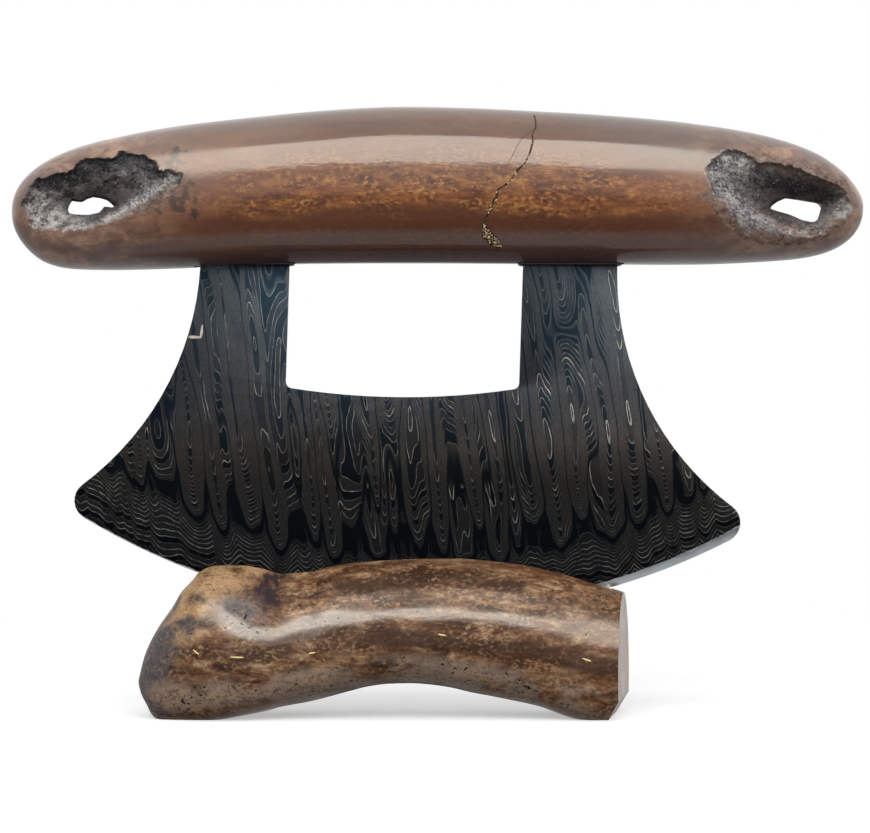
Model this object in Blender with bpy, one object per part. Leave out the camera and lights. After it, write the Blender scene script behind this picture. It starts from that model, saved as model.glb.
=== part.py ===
"""Ulu knife with a fossil-bone handle and a layered-steel blade, standing in its bone display stand.

Metres, +Z up. X runs along the knife and Y through it, with the front at -Y. The origin is under
the middle of the handle, on the surface that the stand rests on.
"""

import math

import bmesh
import bpy
from mathutils import Matrix, Vector

# Clearances
GAP = 0.0003            # air between two pieces that touch on the real object
OVERRUN = 0.003         # how far a cutter runs past what it cuts

# Handle, one arched piece of polished fossil bone
HANDLE_LENGTH = 0.1962
HANDLE_HEIGHT = 0.0362
HANDLE_DEPTH = 0.0300
HANDLE_SECTION_POWER = 2.3
LEFT_TIP_SHARE = 0.326      # height of each end's tip above the underside, of the handle's height
RIGHT_TIP_SHARE = 0.358
CROWN_POWER = 2.2
BELLY_POWERS = (12.0, 2.0)
PLAN_POWERS = (6.0, 2.0)
# Fullness of the arch and of the underside, at places from the left tip (-1) to the right tip (1)
CROWN_SHARES = [(-1.0, 1.15), (-0.9, 1.095), (-0.7, 1.012), (-0.45, 0.982), (-0.1, 1.005),
                (0.3, 0.967), (0.6, 0.983), (0.88, 1.034), (0.95, 0.974), (1.0, 0.80)]
BELLY_SHARES = [(-1.0, 1.05), (-0.92, 1.18), (-0.8, 1.12), (-0.6, 1.06), (-0.3, 0.987),
                (0.0, 1.0), (0.3, 1.027), (0.6, 1.045), (0.8, 1.02), (1.0, 1.03)]

# Rough hollows in the handle's ends. Outlines are shares of the handle's length from its middle
# and of its height above the underside.
HOLLOW_RIM_DROP = 0.0010
HOLLOW_DEPTH = 0.0085
BACK_HOLLOW_SHARE = 0.62        # size of the hollow behind, of the one in front
THROAT_SHARE = 0.1              # least depth left in front of the middle, of the skin's depth
# Each level of the bowl: its share of the outline's size and of the hollow's depth
BOWL_SHARES = [(0.94, 0.22), (0.76, 0.46), (0.52, 0.76), (0.30, 1.0)]
LEFT_HOLE_CENTRE_SHARES = (-0.415, 0.372)
LEFT_HOLLOW_SHARES = [(-0.483, 0.377), (-0.474, 0.497), (-0.450, 0.585), (-0.418, 0.661),
                      (-0.394, 0.706), (-0.359, 0.712), (-0.333, 0.674), (-0.315, 0.585),
                      (-0.296, 0.530), (-0.300, 0.434), (-0.317, 0.358), (-0.350, 0.269),
                      (-0.385, 0.218), (-0.423, 0.206), (-0.462, 0.225), (-0.480, 0.282)]
LEFT_HOLE_SHARES = [(-0.441, 0.364), (-0.431, 0.434), (-0.418, 0.462), (-0.401, 0.456),
                    (-0.390, 0.430), (-0.377, 0.364), (-0.390, 0.329), (-0.406, 0.310),
                    (-0.423, 0.307), (-0.437, 0.323)]
RIGHT_HOLE_CENTRE_SHARES = (0.423, 0.364)
RIGHT_HOLLOW_SHARES = [(0.316, 0.623), (0.333, 0.693), (0.357, 0.737), (0.387, 0.687),
                       (0.419, 0.642), (0.454, 0.585), (0.481, 0.497), (0.489, 0.377),
                       (0.477, 0.250), (0.448, 0.187), (0.407, 0.180), (0.372, 0.250),
                       (0.352, 0.332), (0.333, 0.434), (0.322, 0.522)]
RIGHT_HOLE_SHARES = [(0.389, 0.367), (0.405, 0.452), (0.420, 0.462), (0.441, 0.441),
                     (0.460, 0.405), (0.459, 0.332), (0.446, 0.269), (0.425, 0.272),
                     (0.402, 0.310)]

# Natural crack down the handle's front, filled with mineral grains. Each point is a place, as
# shares of the handle's length and height, and a share of the filled patch's width.
CRACK_DEPTH = 0.0012
CRACK_PATCH_WIDTH = 0.0036
CRACK_BACK_SHARE = 0.125        # the crack stays this share of the handle's depth before its middle
CRACK_SHARES = [(0.1125, 0.950, 0.22), (0.1146, 0.851, 0.22), (0.1111, 0.788, 0.24),
                (0.1076, 0.693, 0.26), (0.0936, 0.592, 0.28), (0.0842, 0.525, 0.34),
                (0.0725, 0.478, 0.36), (0.0702, 0.434, 0.24), (0.0632, 0.370, 0.30),
                (0.0608, 0.313, 0.34), (0.0562, 0.263, 0.60), (0.0600, 0.206, 0.95),
                (0.0655, 0.155, 0.90), (0.0667, 0.100, 0.24)]

# Blade, one plate with two legs, a finger window and a curved edge
BLADE_THICKNESS = 0.0032
BLADE_DROP = 0.0805             # from the handle's underside down to the lowest point of the edge
EDGE_RADIUS = 0.1531
EDGE_CENTRE_OFFSET = -0.0024    # of the edge's centre from the handle's middle, along X
LEFT_SIDE_RADIUS = 0.0673
RIGHT_SIDE_RADIUS = 0.0660
LEFT_WAIST_RISE = 0.0033        # of the narrowest place of each leg above the handle's underside
RIGHT_WAIST_RISE = -0.0030
LEFT_LEG_WIDTH = 0.0203
RIGHT_LEG_WIDTH = 0.0216
WINDOW_WIDTH = 0.0539
WINDOW_OFFSET = -0.0072         # of the window's middle from the handle's middle, along X
WINDOW_FLOOR_RISE = 0.0498      # of the window's floor above the lowest point of the edge
WINDOW_FLOOR_RADIUS = 0.1692
WINDOW_LEAN = 0.0010            # how far to the left both its sides have drifted at its floor
WINDOW_CORNER_RADIUS = 0.0015
TIP_RADIUS = 0.0046
TANG_LENGTH = 0.0180
GRIND_HEIGHT = 0.0160           # of the long ground flank above the edge
EDGE_BEVEL_HEIGHT = 0.0020      # of the bright last bevel
EDGE_SHOULDER = 0.0009          # thickness where the last bevel starts
EDGE_LAND = 0.0003              # thickness at the very edge

# Adhesive bed round each tang
EPOXY_WALL = 0.0005
EPOXY_ROOF = 0.0010
BEAD_HEIGHT = 0.0005
BEAD_REACH = 0.0001             # of the bead past the mortise
LAND_DEPTH = 0.0005             # of the flat filed round each mortise

# Display stand, one piece of polished bone with a sawn right end
STAND_LENGTH = 0.1142
STAND_HEIGHT = 0.0367
STAND_DEPTH = 0.0300
STAND_OFFSET = -0.0118          # of the stand's middle from the handle's middle, along X
SLOT_DEPTH = 0.0133             # of the slot at its deepest
SAW_ANGLE = math.radians(9.0)
CORNER_ANGLE = math.radians(30)     # of the small cut that takes off the sawn end's lower edge
CORNER_RISE = 0.0045
FOOT_SINK = 0.0012              # how much of the rounded belly each foot loses to be flat
FOOT_BLEND_SHARE = 0.06         # belly height, of the stand's height, at which the sinking ends
DENT_RADIUS = 0.0085
DENT_DEPTH = 0.0024
DENT_SHARES = (0.275, 0.792)    # place of the dent, of the stand's length and height
STAND_TOP_SHARES = [(0.0, 0.226), (0.015, 0.403), (0.039, 0.553), (0.072, 0.704), (0.086, 0.780),
                    (0.108, 0.855), (0.126, 0.918), (0.154, 0.954), (0.201, 0.962),
                    (0.249, 0.950), (0.290, 0.920), (0.344, 0.920), (0.386, 0.950),
                    (0.441, 0.975), (0.508, 0.990), (0.576, 1.0), (0.645, 1.0), (0.713, 0.984),
                    (0.782, 0.956), (0.850, 0.906), (0.917, 0.843), (0.969, 0.792), (1.0, 0.761)]
STAND_BELLY_SHARES = [(0.0, 0.226), (0.003, 0.176), (0.013, 0.101), (0.031, 0.025), (0.049, 0.0),
                      (0.134, 0.0), (0.185, 0.015), (0.225, 0.030), (0.265, 0.048),
                      (0.306, 0.073), (0.346, 0.095), (0.386, 0.125), (0.427, 0.160),
                      (0.467, 0.190), (0.508, 0.205), (0.548, 0.208), (0.588, 0.200),
                      (0.629, 0.182), (0.669, 0.152), (0.709, 0.128), (0.750, 0.102),
                      (0.790, 0.076), (0.831, 0.046), (0.871, 0.018), (0.911, 0.0), (1.0, 0.0)]
STAND_PLAN_SHARES = [(0.0, 0.10), (0.010, 0.38), (0.030, 0.62), (0.070, 0.82), (0.130, 0.96),
                     (0.220, 1.0), (0.340, 0.93), (0.600, 0.92), (1.0, 0.90)]
# Height of the widest line of each section, between its belly and its top
STAND_WIDEST_SHARES = [(0.0, 0.50), (0.10, 0.50), (0.20, 0.37), (0.35, 0.38), (0.60, 0.36),
                       (0.80, 0.38), (1.0, 0.42)]
STAND_TOP_POWER = 2.2
STAND_BELLY_POWER_SHARES = [(0.0, 2.2), (0.08, 3.2), (0.16, 3.2), (0.35, 2.5), (0.75, 2.5),
                            (0.90, 3.2), (1.0, 3.2)]

# Fineness of the meshes
HANDLE_STATIONS = 50
HANDLE_SIDES = 40
STAND_STATIONS = 40
STAND_SIDES = 36
EDGE_STEPS = 56
SIDE_STEPS = 16
FLOOR_STEPS = 12
FILLET_STEPS = 4
SHARP_ANGLE = math.radians(35)

# Places that follow from the sizes above
EDGE_LOW = STAND_HEIGHT - SLOT_DEPTH + GAP
UNDERSIDE = EDGE_LOW + BLADE_DROP
EDGE_CENTRE = (EDGE_CENTRE_OFFSET, EDGE_LOW + EDGE_RADIUS)
WINDOW_LEFT = WINDOW_OFFSET - WINDOW_WIDTH / 2
WINDOW_RIGHT = WINDOW_OFFSET + WINDOW_WIDTH / 2
LEG_LEFT = WINDOW_LEFT - LEFT_LEG_WIDTH
LEG_RIGHT = WINDOW_RIGHT + RIGHT_LEG_WIDTH
LEFT_SIDE_CENTRE = (LEG_LEFT - LEFT_SIDE_RADIUS, UNDERSIDE + LEFT_WAIST_RISE)
RIGHT_SIDE_CENTRE = (LEG_RIGHT + RIGHT_SIDE_RADIUS, UNDERSIDE + RIGHT_WAIST_RISE)
WINDOW_FLOOR_CENTRE = (WINDOW_OFFSET, EDGE_LOW + WINDOW_FLOOR_RISE + WINDOW_FLOOR_RADIUS)
TANG_TOP = UNDERSIDE + TANG_LENGTH


def clear_scene():
    for item in list(bpy.data.objects):
        bpy.data.objects.remove(item, do_unlink=True)


def make_material(name, colour, roughness, metallic):
    material = bpy.data.materials.new(name)
    material.use_nodes = True
    shader = material.node_tree.nodes["Principled BSDF"]
    shader.inputs["Base Color"].default_value = (*colour, 1.0)
    shader.inputs["Roughness"].default_value = roughness
    shader.inputs["Metallic"].default_value = metallic
    material.diffuse_color = (*colour, 1.0)
    return material


def add_object(name, mesh, material=None):
    """Turn a closed bmesh into an object. Without a material it is a hidden cutter."""
    bmesh.ops.recalc_face_normals(mesh, faces=mesh.faces)
    bmesh.ops.triangulate(mesh, faces=mesh.faces)
    data = bpy.data.meshes.new(name)
    mesh.to_mesh(data)
    mesh.free()
    item = bpy.data.objects.new(name, data)
    bpy.context.scene.collection.objects.link(item)
    if material:
        data.materials.append(material)
    else:
        item.hide_render = True
        item.display_type = "WIRE"
    return item


def boolean(target, tool, operation="DIFFERENCE"):
    step = target.modifiers.new(tool.name, "BOOLEAN")
    step.operation = operation
    step.solver = "EXACT"
    step.object = tool


def smooth_value(table, place):
    """Read a smooth curve, which never overshoots, through a table of (place, value) pairs."""
    places = [entry[0] for entry in table]
    values = [entry[1] for entry in table]
    if place <= places[0]:
        return values[0]
    if place >= places[-1]:
        return values[-1]
    rises = [(values[i + 1] - values[i]) / (places[i + 1] - places[i])
             for i in range(len(places) - 1)]

    def slope(i):
        if i == 0:
            return rises[0]
        if i == len(rises):
            return rises[-1]
        if rises[i - 1] * rises[i] <= 0:
            return 0.0
        return 2 * rises[i - 1] * rises[i] / (rises[i - 1] + rises[i])

    i = max(k for k in range(len(places) - 1) if places[k] <= place)
    step = places[i + 1] - places[i]
    t = (place - places[i]) / step
    start, end = slope(i) * step, slope(i + 1) * step
    change = values[i + 1] - values[i]
    return values[i] + t * (start + t * (3 * change - 2 * start - end
                                         + t * (start + end - 2 * change)))


def section_ring(x, top, bottom, half_depth, powers, sides, widest_share=0.5):
    """Points round one upright section: a rounded form, flatter where its power is higher."""
    widest = bottom + (top - bottom) * widest_share
    ring = []
    for step in range(sides):
        angle = math.tau * step / sides
        side, rise = math.cos(angle), math.sin(angle)
        power, end = (powers[0], top) if rise >= 0 else (powers[1], bottom)
        y = half_depth * math.copysign(abs(side) ** (2 / power), side)
        z = widest + (end - widest) * abs(rise) ** (2 / power)
        ring.append((x, y, z))
    return ring


def loft(rings, tips=(None, None)):
    """Closed bmesh through rings of points. An end is a fan to its tip, or a flat cap."""
    mesh = bmesh.new()
    loops = [[mesh.verts.new(point) for point in ring] for ring in rings]
    count = len(loops[0])
    for near, far in zip(loops, loops[1:]):
        for i in range(count):
            j = (i + 1) % count
            mesh.faces.new((near[i], near[j], far[j], far[i]))
    for loop, tip in ((loops[0], tips[0]), (loops[-1], tips[1])):
        if tip is None:
            mesh.faces.new(loop)
            continue
        point = mesh.verts.new(tip)
        for i in range(count):
            mesh.faces.new((loop[i], loop[(i + 1) % count], point))
    return mesh


def prism(outline, low_y, high_y):
    """Closed bmesh: an outline of (x, z) points carried from one depth to another."""
    return loft([[(x, y, z) for x, z in outline] for y in (low_y, high_y)])


def block(low, high):
    """Closed bmesh: a box between two corners."""
    outline = [(low[0], low[2]), (high[0], low[2]), (high[0], high[2]), (low[0], high[2])]
    return prism(outline, low[1], high[1])


def rounded_outline(points, steps=3):
    """Closed smooth curve through points, with a few points to each stretch."""
    count = len(points)
    curve = []
    for i in range(count):
        before, start, end, after = (Vector(points[(i + k) % count]) for k in (-1, 0, 1, 2))
        for step in range(steps):
            t = step / steps
            curve.append(tuple(0.5 * (2 * start + t * (end - before)
                                      + t * t * (2 * before - 5 * start + 4 * end - after)
                                      + t ** 3 * (3 * start - before - 3 * end + after))))
    return curve


def arc(centre, radius, start, end, steps):
    """Points on an arc, both ends included. Angles are measured from +X towards +Z."""
    points = []
    for step in range(steps + 1):
        angle = start + (end - start) * step / steps
        points.append((centre[0] + radius * math.cos(angle),
                       centre[1] + radius * math.sin(angle)))
    return points


def angle_of(point, centre):
    return math.atan2(point[1] - centre[1], point[0] - centre[0])


def circles_meet(first, first_radius, second, second_radius, lower=True):
    """The lower (or upper) point where two circles cross."""
    span = Vector(second) - Vector(first)
    along = (first_radius ** 2 - second_radius ** 2 + span.length_squared) / (2 * span.length)
    across = math.sqrt(first_radius ** 2 - along ** 2)
    foot = Vector(first) + span.normalized() * along
    side = Vector((-span.y, span.x)).normalized() * across
    pair = sorted((foot + side, foot - side), key=lambda point: point.y)
    return tuple(pair[0] if lower else pair[1])


# Handle

def handle_form(place, inset=0.0):
    """Top, bottom and half depth of the handle at a place from -1 to 1, or of a form inset in it."""
    tip_share = LEFT_TIP_SHARE + (RIGHT_TIP_SHARE - LEFT_TIP_SHARE) * (place + 1) / 2
    centre_share = (LEFT_TIP_SHARE + RIGHT_TIP_SHARE) / 2
    tip = UNDERSIDE + HANDLE_HEIGHT * tip_share
    far = min(abs(place), 1.0)
    crown = (1 - far ** CROWN_POWER) ** (1 / CROWN_POWER) * smooth_value(CROWN_SHARES, place)
    belly = (1 - far ** BELLY_POWERS[0]) ** (1 / BELLY_POWERS[1]) * smooth_value(BELLY_SHARES, place)
    plan = (1 - far ** PLAN_POWERS[0]) ** (1 / PLAN_POWERS[1])
    top = tip + HANDLE_HEIGHT * (1 - centre_share) * crown - inset
    bottom = tip - HANDLE_HEIGHT * centre_share * belly + inset
    return top, bottom, HANDLE_DEPTH / 2 * plan - inset


def handle_loft(inset=0.0):
    """Closed bmesh of the handle's outside, or of the same form a little smaller all round."""
    rings, tips = [], []
    half = HANDLE_LENGTH / 2
    for station in range(1, HANDLE_STATIONS):
        place = -math.cos(math.pi * station / HANDLE_STATIONS)
        top, bottom, depth = handle_form(place, inset)
        if depth <= 0 or top <= bottom:
            continue
        powers = (HANDLE_SECTION_POWER, HANDLE_SECTION_POWER)
        rings.append(section_ring(place * half, top, bottom, depth, powers, HANDLE_SIDES))
    for place, share in ((-1, LEFT_TIP_SHARE), (1, RIGHT_TIP_SHARE)):
        tips.append((place * (half - inset), 0.0, UNDERSIDE + HANDLE_HEIGHT * share))
    return loft(rings, tips)


def handle_point(shares):
    """Place (x, z) on the handle's front from shares of its length and height."""
    return (shares[0] * HANDLE_LENGTH, UNDERSIDE + shares[1] * HANDLE_HEIGHT)


def handle_skin(x, z):
    """Half depth of the handle at a place (x, z)."""
    top, bottom, depth = handle_form(2 * x / HANDLE_LENGTH)
    middle, reach = (top + bottom) / 2, (top - bottom) / 2
    off = min(abs(z - middle) / reach, 1.0) if reach > 0 else 1.0
    return depth * (1 - off ** HANDLE_SECTION_POWER) ** (1 / HANDLE_SECTION_POWER)


def hollow_cutter(name, outline_shares, centre_shares, side, size_share):
    """A rough bowl: its rim drops sharply below the skin, then its floor falls to the hole."""
    centre = Vector(handle_point(centre_shares))
    outline = [Vector(point) for point in rounded_outline([handle_point(s) for s in outline_shares], 2)]
    levels = [(1.0, None), (1.0, -GAP)]
    for share, depth_share in BOWL_SHARES:
        levels.append((share, HOLLOW_RIM_DROP + (HOLLOW_DEPTH - HOLLOW_RIM_DROP) * depth_share))
    rings = []
    for share, depth in levels:
        ring = []
        for point in outline:
            x, z = centre + (point - centre) * share * size_share
            skin = handle_skin(x, z)
            y = HANDLE_DEPTH / 2 + OVERRUN if depth is None else max(skin - depth, skin * THROAT_SHARE)
            ring.append((x, side * y, z))
        rings.append(ring)
    return add_object(name, loft(rings))


def hole_cutter(name, outline_shares):
    outline = rounded_outline([handle_point(shares) for shares in outline_shares], 2)
    reach = HANDLE_DEPTH / 2 + OVERRUN
    return add_object(name, prism(outline, -reach, reach))


def crack_outline(margin):
    """Outline of the crack on the front, wider by a margin on each side."""
    points = [Vector(handle_point(entry)) for entry in CRACK_SHARES]
    left, right = [], []
    for i, entry in enumerate(CRACK_SHARES):
        ahead = points[min(i + 1, len(points) - 1)] - points[max(i - 1, 0)]
        across = Vector((-ahead.y, ahead.x)).normalized()
        half = CRACK_PATCH_WIDTH * entry[2] / 2 + margin
        left.append(tuple(points[i] - across * half))
        right.append(tuple(points[i] + across * half))
    end = (points[-1] - points[-2]).normalized() * margin
    start = (points[0] - points[1]).normalized() * margin
    left = [tuple(Vector(left[0]) + start)] + left[1:-1] + [tuple(Vector(left[-1]) + end)]
    right = [tuple(Vector(right[0]) + start)] + right[1:-1] + [tuple(Vector(right[-1]) + end)]
    return left + right[::-1]


def crack_solid(name, margin, depth, material=None):
    """The crack's outline carried into the handle's front, down to a depth under its skin."""
    front = -HANDLE_DEPTH / 2 - OVERRUN
    back = -HANDLE_DEPTH * CRACK_BACK_SHARE
    item = add_object(name, prism(crack_outline(margin), front, back), material)
    core = add_object(name + "_core", handle_loft(depth))
    boolean(item, core)
    return item


def tang_sites():
    """Name and low and high X of each tang."""
    return [("left_tang", LEG_LEFT, WINDOW_LEFT), ("right_tang", WINDOW_RIGHT, LEG_RIGHT)]


def land_height(low, high):
    """Height of the flat filed round a mortise, just above the underside's highest point there."""
    half = HANDLE_LENGTH / 2
    bottoms = [handle_form((low + (high - low) * share) / half)[1] for share in (0, 0.5, 1)]
    return max(bottoms) + LAND_DEPTH


def mortise_allowance():
    return GAP + EPOXY_WALL + GAP


def make_handle(material):
    handle = add_object("handle", handle_loft(), material)
    hollows = (("left", LEFT_HOLLOW_SHARES, LEFT_HOLE_CENTRE_SHARES, LEFT_HOLE_SHARES),
               ("right", RIGHT_HOLLOW_SHARES, RIGHT_HOLE_CENTRE_SHARES, RIGHT_HOLE_SHARES))
    for side, hollow, centre, hole in hollows:
        boolean(handle, hollow_cutter(side + "_front_hollow", hollow, centre, -1, 1.0))
        boolean(handle, hollow_cutter(side + "_back_hollow", hollow, centre, 1, BACK_HOLLOW_SHARE))
        boolean(handle, hole_cutter(side + "_hole", hole))
    for name, low, high in tang_sites():
        spare = mortise_allowance()
        depth = BLADE_THICKNESS / 2 + spare
        roof = TANG_TOP + GAP + EPOXY_ROOF + GAP
        land = land_height(low, high)
        mortise = block((low - spare, -depth, land - OVERRUN), (high + spare, depth, roof))
        boolean(handle, add_object(name + "_mortise", mortise))
        reach = spare + BEAD_REACH + GAP
        flat = block((low - reach, -depth - BEAD_REACH - GAP, land - OVERRUN),
                     (high + reach, depth + BEAD_REACH + GAP, land))
        boolean(handle, add_object(name + "_land", flat))
    boolean(handle, crack_solid("crack_groove", GAP, CRACK_DEPTH + GAP))
    return handle


def make_crack_filler(material):
    filler = crack_solid("crack_filler", 0.0, CRACK_DEPTH, material)
    skin = add_object("crack_filler_skin", handle_loft())
    boolean(filler, skin, "INTERSECT")
    return filler


# Adhesive beds

def rounded_box_ring(low, high, half_depth, radius, z):
    """Ring of points round a box with rounded corners, at one height."""
    ring = []
    corners = ((high - radius, half_depth - radius, 0.0), (low + radius, half_depth - radius, 0.25),
               (low + radius, radius - half_depth, 0.5), (high - radius, radius - half_depth, 0.75))
    for x, y, turn in corners:
        for step in range(FILLET_STEPS + 1):
            angle = math.tau * (turn + 0.25 * step / FILLET_STEPS)
            ring.append((x + radius * math.cos(angle), y + radius * math.sin(angle), z))
    return ring


def make_epoxy(name, low, high, material):
    """A thin cup round the tang, with a bead that spreads below the mortise's mouth."""
    wall = GAP + EPOXY_WALL
    depth = BLADE_THICKNESS / 2
    land = land_height(low, high)
    # Each level: how far the ring stands off the tang, and its height
    bead = wall + GAP + BEAD_REACH
    levels = [(wall, land - GAP - BEAD_HEIGHT), (bead, land - GAP - BEAD_HEIGHT / 2),
              (bead, land - GAP), (wall, land - GAP), (wall, TANG_TOP + GAP + EPOXY_ROOF)]
    rings = [rounded_box_ring(low - off, high + off, depth + off, off, z) for off, z in levels]
    item = add_object(name + "_epoxy", loft(rings), material)
    pocket = block((low - GAP, -depth - GAP, land - GAP - BEAD_HEIGHT - OVERRUN),
                   (high + GAP, depth + GAP, TANG_TOP + GAP))
    boolean(item, add_object(name + "_pocket", pocket))
    return item


# Blade

def tip_fillet(side_centre, side_radius, left):
    """The rounded tip between a concave side and the edge, in order from left to right."""
    centre = circles_meet(side_centre, side_radius + TIP_RADIUS,
                          EDGE_CENTRE, EDGE_RADIUS - TIP_RADIUS)
    side_angle = angle_of(side_centre, centre)
    edge_angle = angle_of(centre, EDGE_CENTRE)
    if left:
        side_angle %= math.tau
        edge_angle %= math.tau
        points = arc(centre, TIP_RADIUS, side_angle, edge_angle, 2 * FILLET_STEPS)
        side_start = angle_of(centre, side_centre)
        return points, side_start, edge_angle
    points = arc(centre, TIP_RADIUS, edge_angle, side_angle, 2 * FILLET_STEPS)
    return points, angle_of(centre, side_centre), edge_angle


def window_corner(side_x, side):
    """Fillet between a side of the window and its floor, in order from right to left."""
    drift = WINDOW_LEAN / (UNDERSIDE - EDGE_LOW - WINDOW_FLOOR_RISE)
    lean = math.atan(drift)
    reach = WINDOW_FLOOR_RADIUS - WINDOW_CORNER_RADIUS
    drop = 0.0
    # The side leans, so its place at the fillet's height is found by repeating
    for _ in range(FILLET_STEPS):
        x = side_x - drift * drop - side * WINDOW_CORNER_RADIUS / math.cos(lean)
        z = WINDOW_FLOOR_CENTRE[1] - math.sqrt(reach ** 2 - (x - WINDOW_FLOOR_CENTRE[0]) ** 2)
        drop = UNDERSIDE - z
    floor_angle = angle_of((x, z), WINDOW_FLOOR_CENTRE)
    if side > 0:
        return arc((x, z), WINDOW_CORNER_RADIUS, -lean, floor_angle, FILLET_STEPS), floor_angle
    wall_angle = -math.pi - lean
    return arc((x, z), WINDOW_CORNER_RADIUS, floor_angle, wall_angle, FILLET_STEPS), floor_angle


def blade_outline():
    """Outline of the plate, from the left tang's outer corner round by the edge and the window."""
    left_tip, left_side, left_edge = tip_fillet(LEFT_SIDE_CENTRE, LEFT_SIDE_RADIUS, True)
    right_tip, right_side, right_edge = tip_fillet(RIGHT_SIDE_CENTRE, RIGHT_SIDE_RADIUS, False)
    outline = [(LEG_LEFT, TANG_TOP)]
    outline += arc(LEFT_SIDE_CENTRE, LEFT_SIDE_RADIUS, 0.0, left_side, SIDE_STEPS)[:-1]
    outline += left_tip
    outline += arc(EDGE_CENTRE, EDGE_RADIUS, left_edge, right_edge % math.tau, EDGE_STEPS)[1:-1]
    outline += right_tip
    outline += arc(RIGHT_SIDE_CENTRE, RIGHT_SIDE_RADIUS, right_side % math.tau, math.pi,
                   SIDE_STEPS)[1:]
    outline += [(LEG_RIGHT, TANG_TOP), (WINDOW_RIGHT, TANG_TOP), (WINDOW_RIGHT, UNDERSIDE)]
    right_corner, floor_right = window_corner(WINDOW_RIGHT, 1)
    left_corner, floor_left = window_corner(WINDOW_LEFT, -1)
    outline += right_corner
    outline += arc(WINDOW_FLOOR_CENTRE, WINDOW_FLOOR_RADIUS, floor_right, floor_left,
                   FLOOR_STEPS)[1:-1]
    outline += left_corner
    outline += [(WINDOW_LEFT, UNDERSIDE), (WINDOW_LEFT, TANG_TOP)]
    return outline


def grind_cutter(name, side):
    """A turned ring about the edge's own axis, which grinds one flank down to the edge."""
    half = BLADE_THICKNESS / 2
    shoulder, land = EDGE_SHOULDER / 2, EDGE_LAND / 2
    flank = (half - shoulder) / (GRIND_HEIGHT - EDGE_BEVEL_HEIGHT)
    bevel = (shoulder - land) / EDGE_BEVEL_HEIGHT
    # (radius, depth) of the ring's section, started and ended clear of the plate
    profile = [(EDGE_RADIUS - GRIND_HEIGHT - OVERRUN, half + flank * OVERRUN),
               (EDGE_RADIUS - EDGE_BEVEL_HEIGHT, shoulder),
               (EDGE_RADIUS + EDGE_LAND, land - bevel * EDGE_LAND),
               (EDGE_RADIUS + OVERRUN, land),
               (EDGE_RADIUS + OVERRUN, half + OVERRUN)]
    tip_angle = tip_fillet(LEFT_SIDE_CENTRE, LEFT_SIDE_RADIUS, True)[2]
    end_angle = tip_fillet(RIGHT_SIDE_CENTRE, RIGHT_SIDE_RADIUS, False)[2] % math.tau
    spare = math.atan(2 * TIP_RADIUS / EDGE_RADIUS) + math.atan(GRIND_HEIGHT / EDGE_RADIUS)
    rings = []
    for step in range(EDGE_STEPS + 1):
        angle = tip_angle - spare + (end_angle - tip_angle + 2 * spare) * step / EDGE_STEPS
        rings.append([(EDGE_CENTRE[0] + radius * math.cos(angle), side * depth,
                       EDGE_CENTRE[1] + radius * math.sin(angle)) for radius, depth in profile])
    return add_object(name, loft(rings))


def make_blade(material):
    half = BLADE_THICKNESS / 2
    blade = add_object("blade", prism(blade_outline(), -half, half), material)
    boolean(blade, grind_cutter("front_grind", -1))
    boolean(blade, grind_cutter("back_grind", 1))
    return blade


# Display stand

def stand_loft():
    """Closed bmesh of the stand, run on past its sawn end and sunk where its feet are cut."""
    left = STAND_OFFSET - STAND_LENGTH / 2
    dent_x = left + DENT_SHARES[0] * STAND_LENGTH
    dent_z = DENT_SHARES[1] * STAND_HEIGHT
    rings = []
    for station in range(1, STAND_STATIONS + 1):
        even = station / STAND_STATIONS
        # Stations crowd at the knob and then run evenly
        crowded = 1 - math.cos(math.pi / 2 * even)
        x = left + (even + crowded) / 2 * (STAND_LENGTH + OVERRUN)
        place = (x - left) / STAND_LENGTH
        top = STAND_HEIGHT * smooth_value(STAND_TOP_SHARES, place)
        share = smooth_value(STAND_BELLY_SHARES, place)
        bottom = STAND_HEIGHT * share - FOOT_SINK * max(1 - share / FOOT_BLEND_SHARE, 0.0)
        depth = STAND_DEPTH / 2 * smooth_value(STAND_PLAN_SHARES, place)
        powers = (STAND_TOP_POWER, smooth_value(STAND_BELLY_POWER_SHARES, place))
        ring = []
        widest = smooth_value(STAND_WIDEST_SHARES, place)
        for x, y, z in section_ring(x, top, bottom, depth, powers, STAND_SIDES, widest):
            if y < 0:
                off = ((x - dent_x) ** 2 + (z - dent_z) ** 2) / DENT_RADIUS ** 2
                y += DENT_DEPTH * math.exp(-off)
            ring.append((x, y, z))
        rings.append(ring)
    tip = (left, 0.0, STAND_HEIGHT * STAND_TOP_SHARES[0][1])
    return loft(rings, (tip, None))


def end_cutter(name, rise, tilt):
    """A block whose face is a cut at the stand's right end, oblique and tilted by an angle."""
    right = STAND_OFFSET + STAND_LENGTH / 2
    size = STAND_LENGTH
    mesh = block((0.0, -size, -size), (size, size, size))
    pivot = Matrix.Translation((right, STAND_DEPTH / 2, rise))
    mesh.transform(pivot @ Matrix.Rotation(-SAW_ANGLE, 4, "Z") @ Matrix.Rotation(tilt, 4, "Y"))
    return add_object(name, mesh)


def slot_cutter():
    """The slot's room: the blade's edge circle and thickness, with a gap all round."""
    half = BLADE_THICKNESS / 2 + GAP
    radius = EDGE_RADIUS + GAP
    spread = math.asin(min(STAND_LENGTH / EDGE_RADIUS, 1.0))
    bottom = -math.pi / 2
    outline = arc(EDGE_CENTRE, radius, bottom - spread, bottom + spread, EDGE_STEPS)
    return add_object("blade_slot", prism(outline, -half, half))


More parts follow.
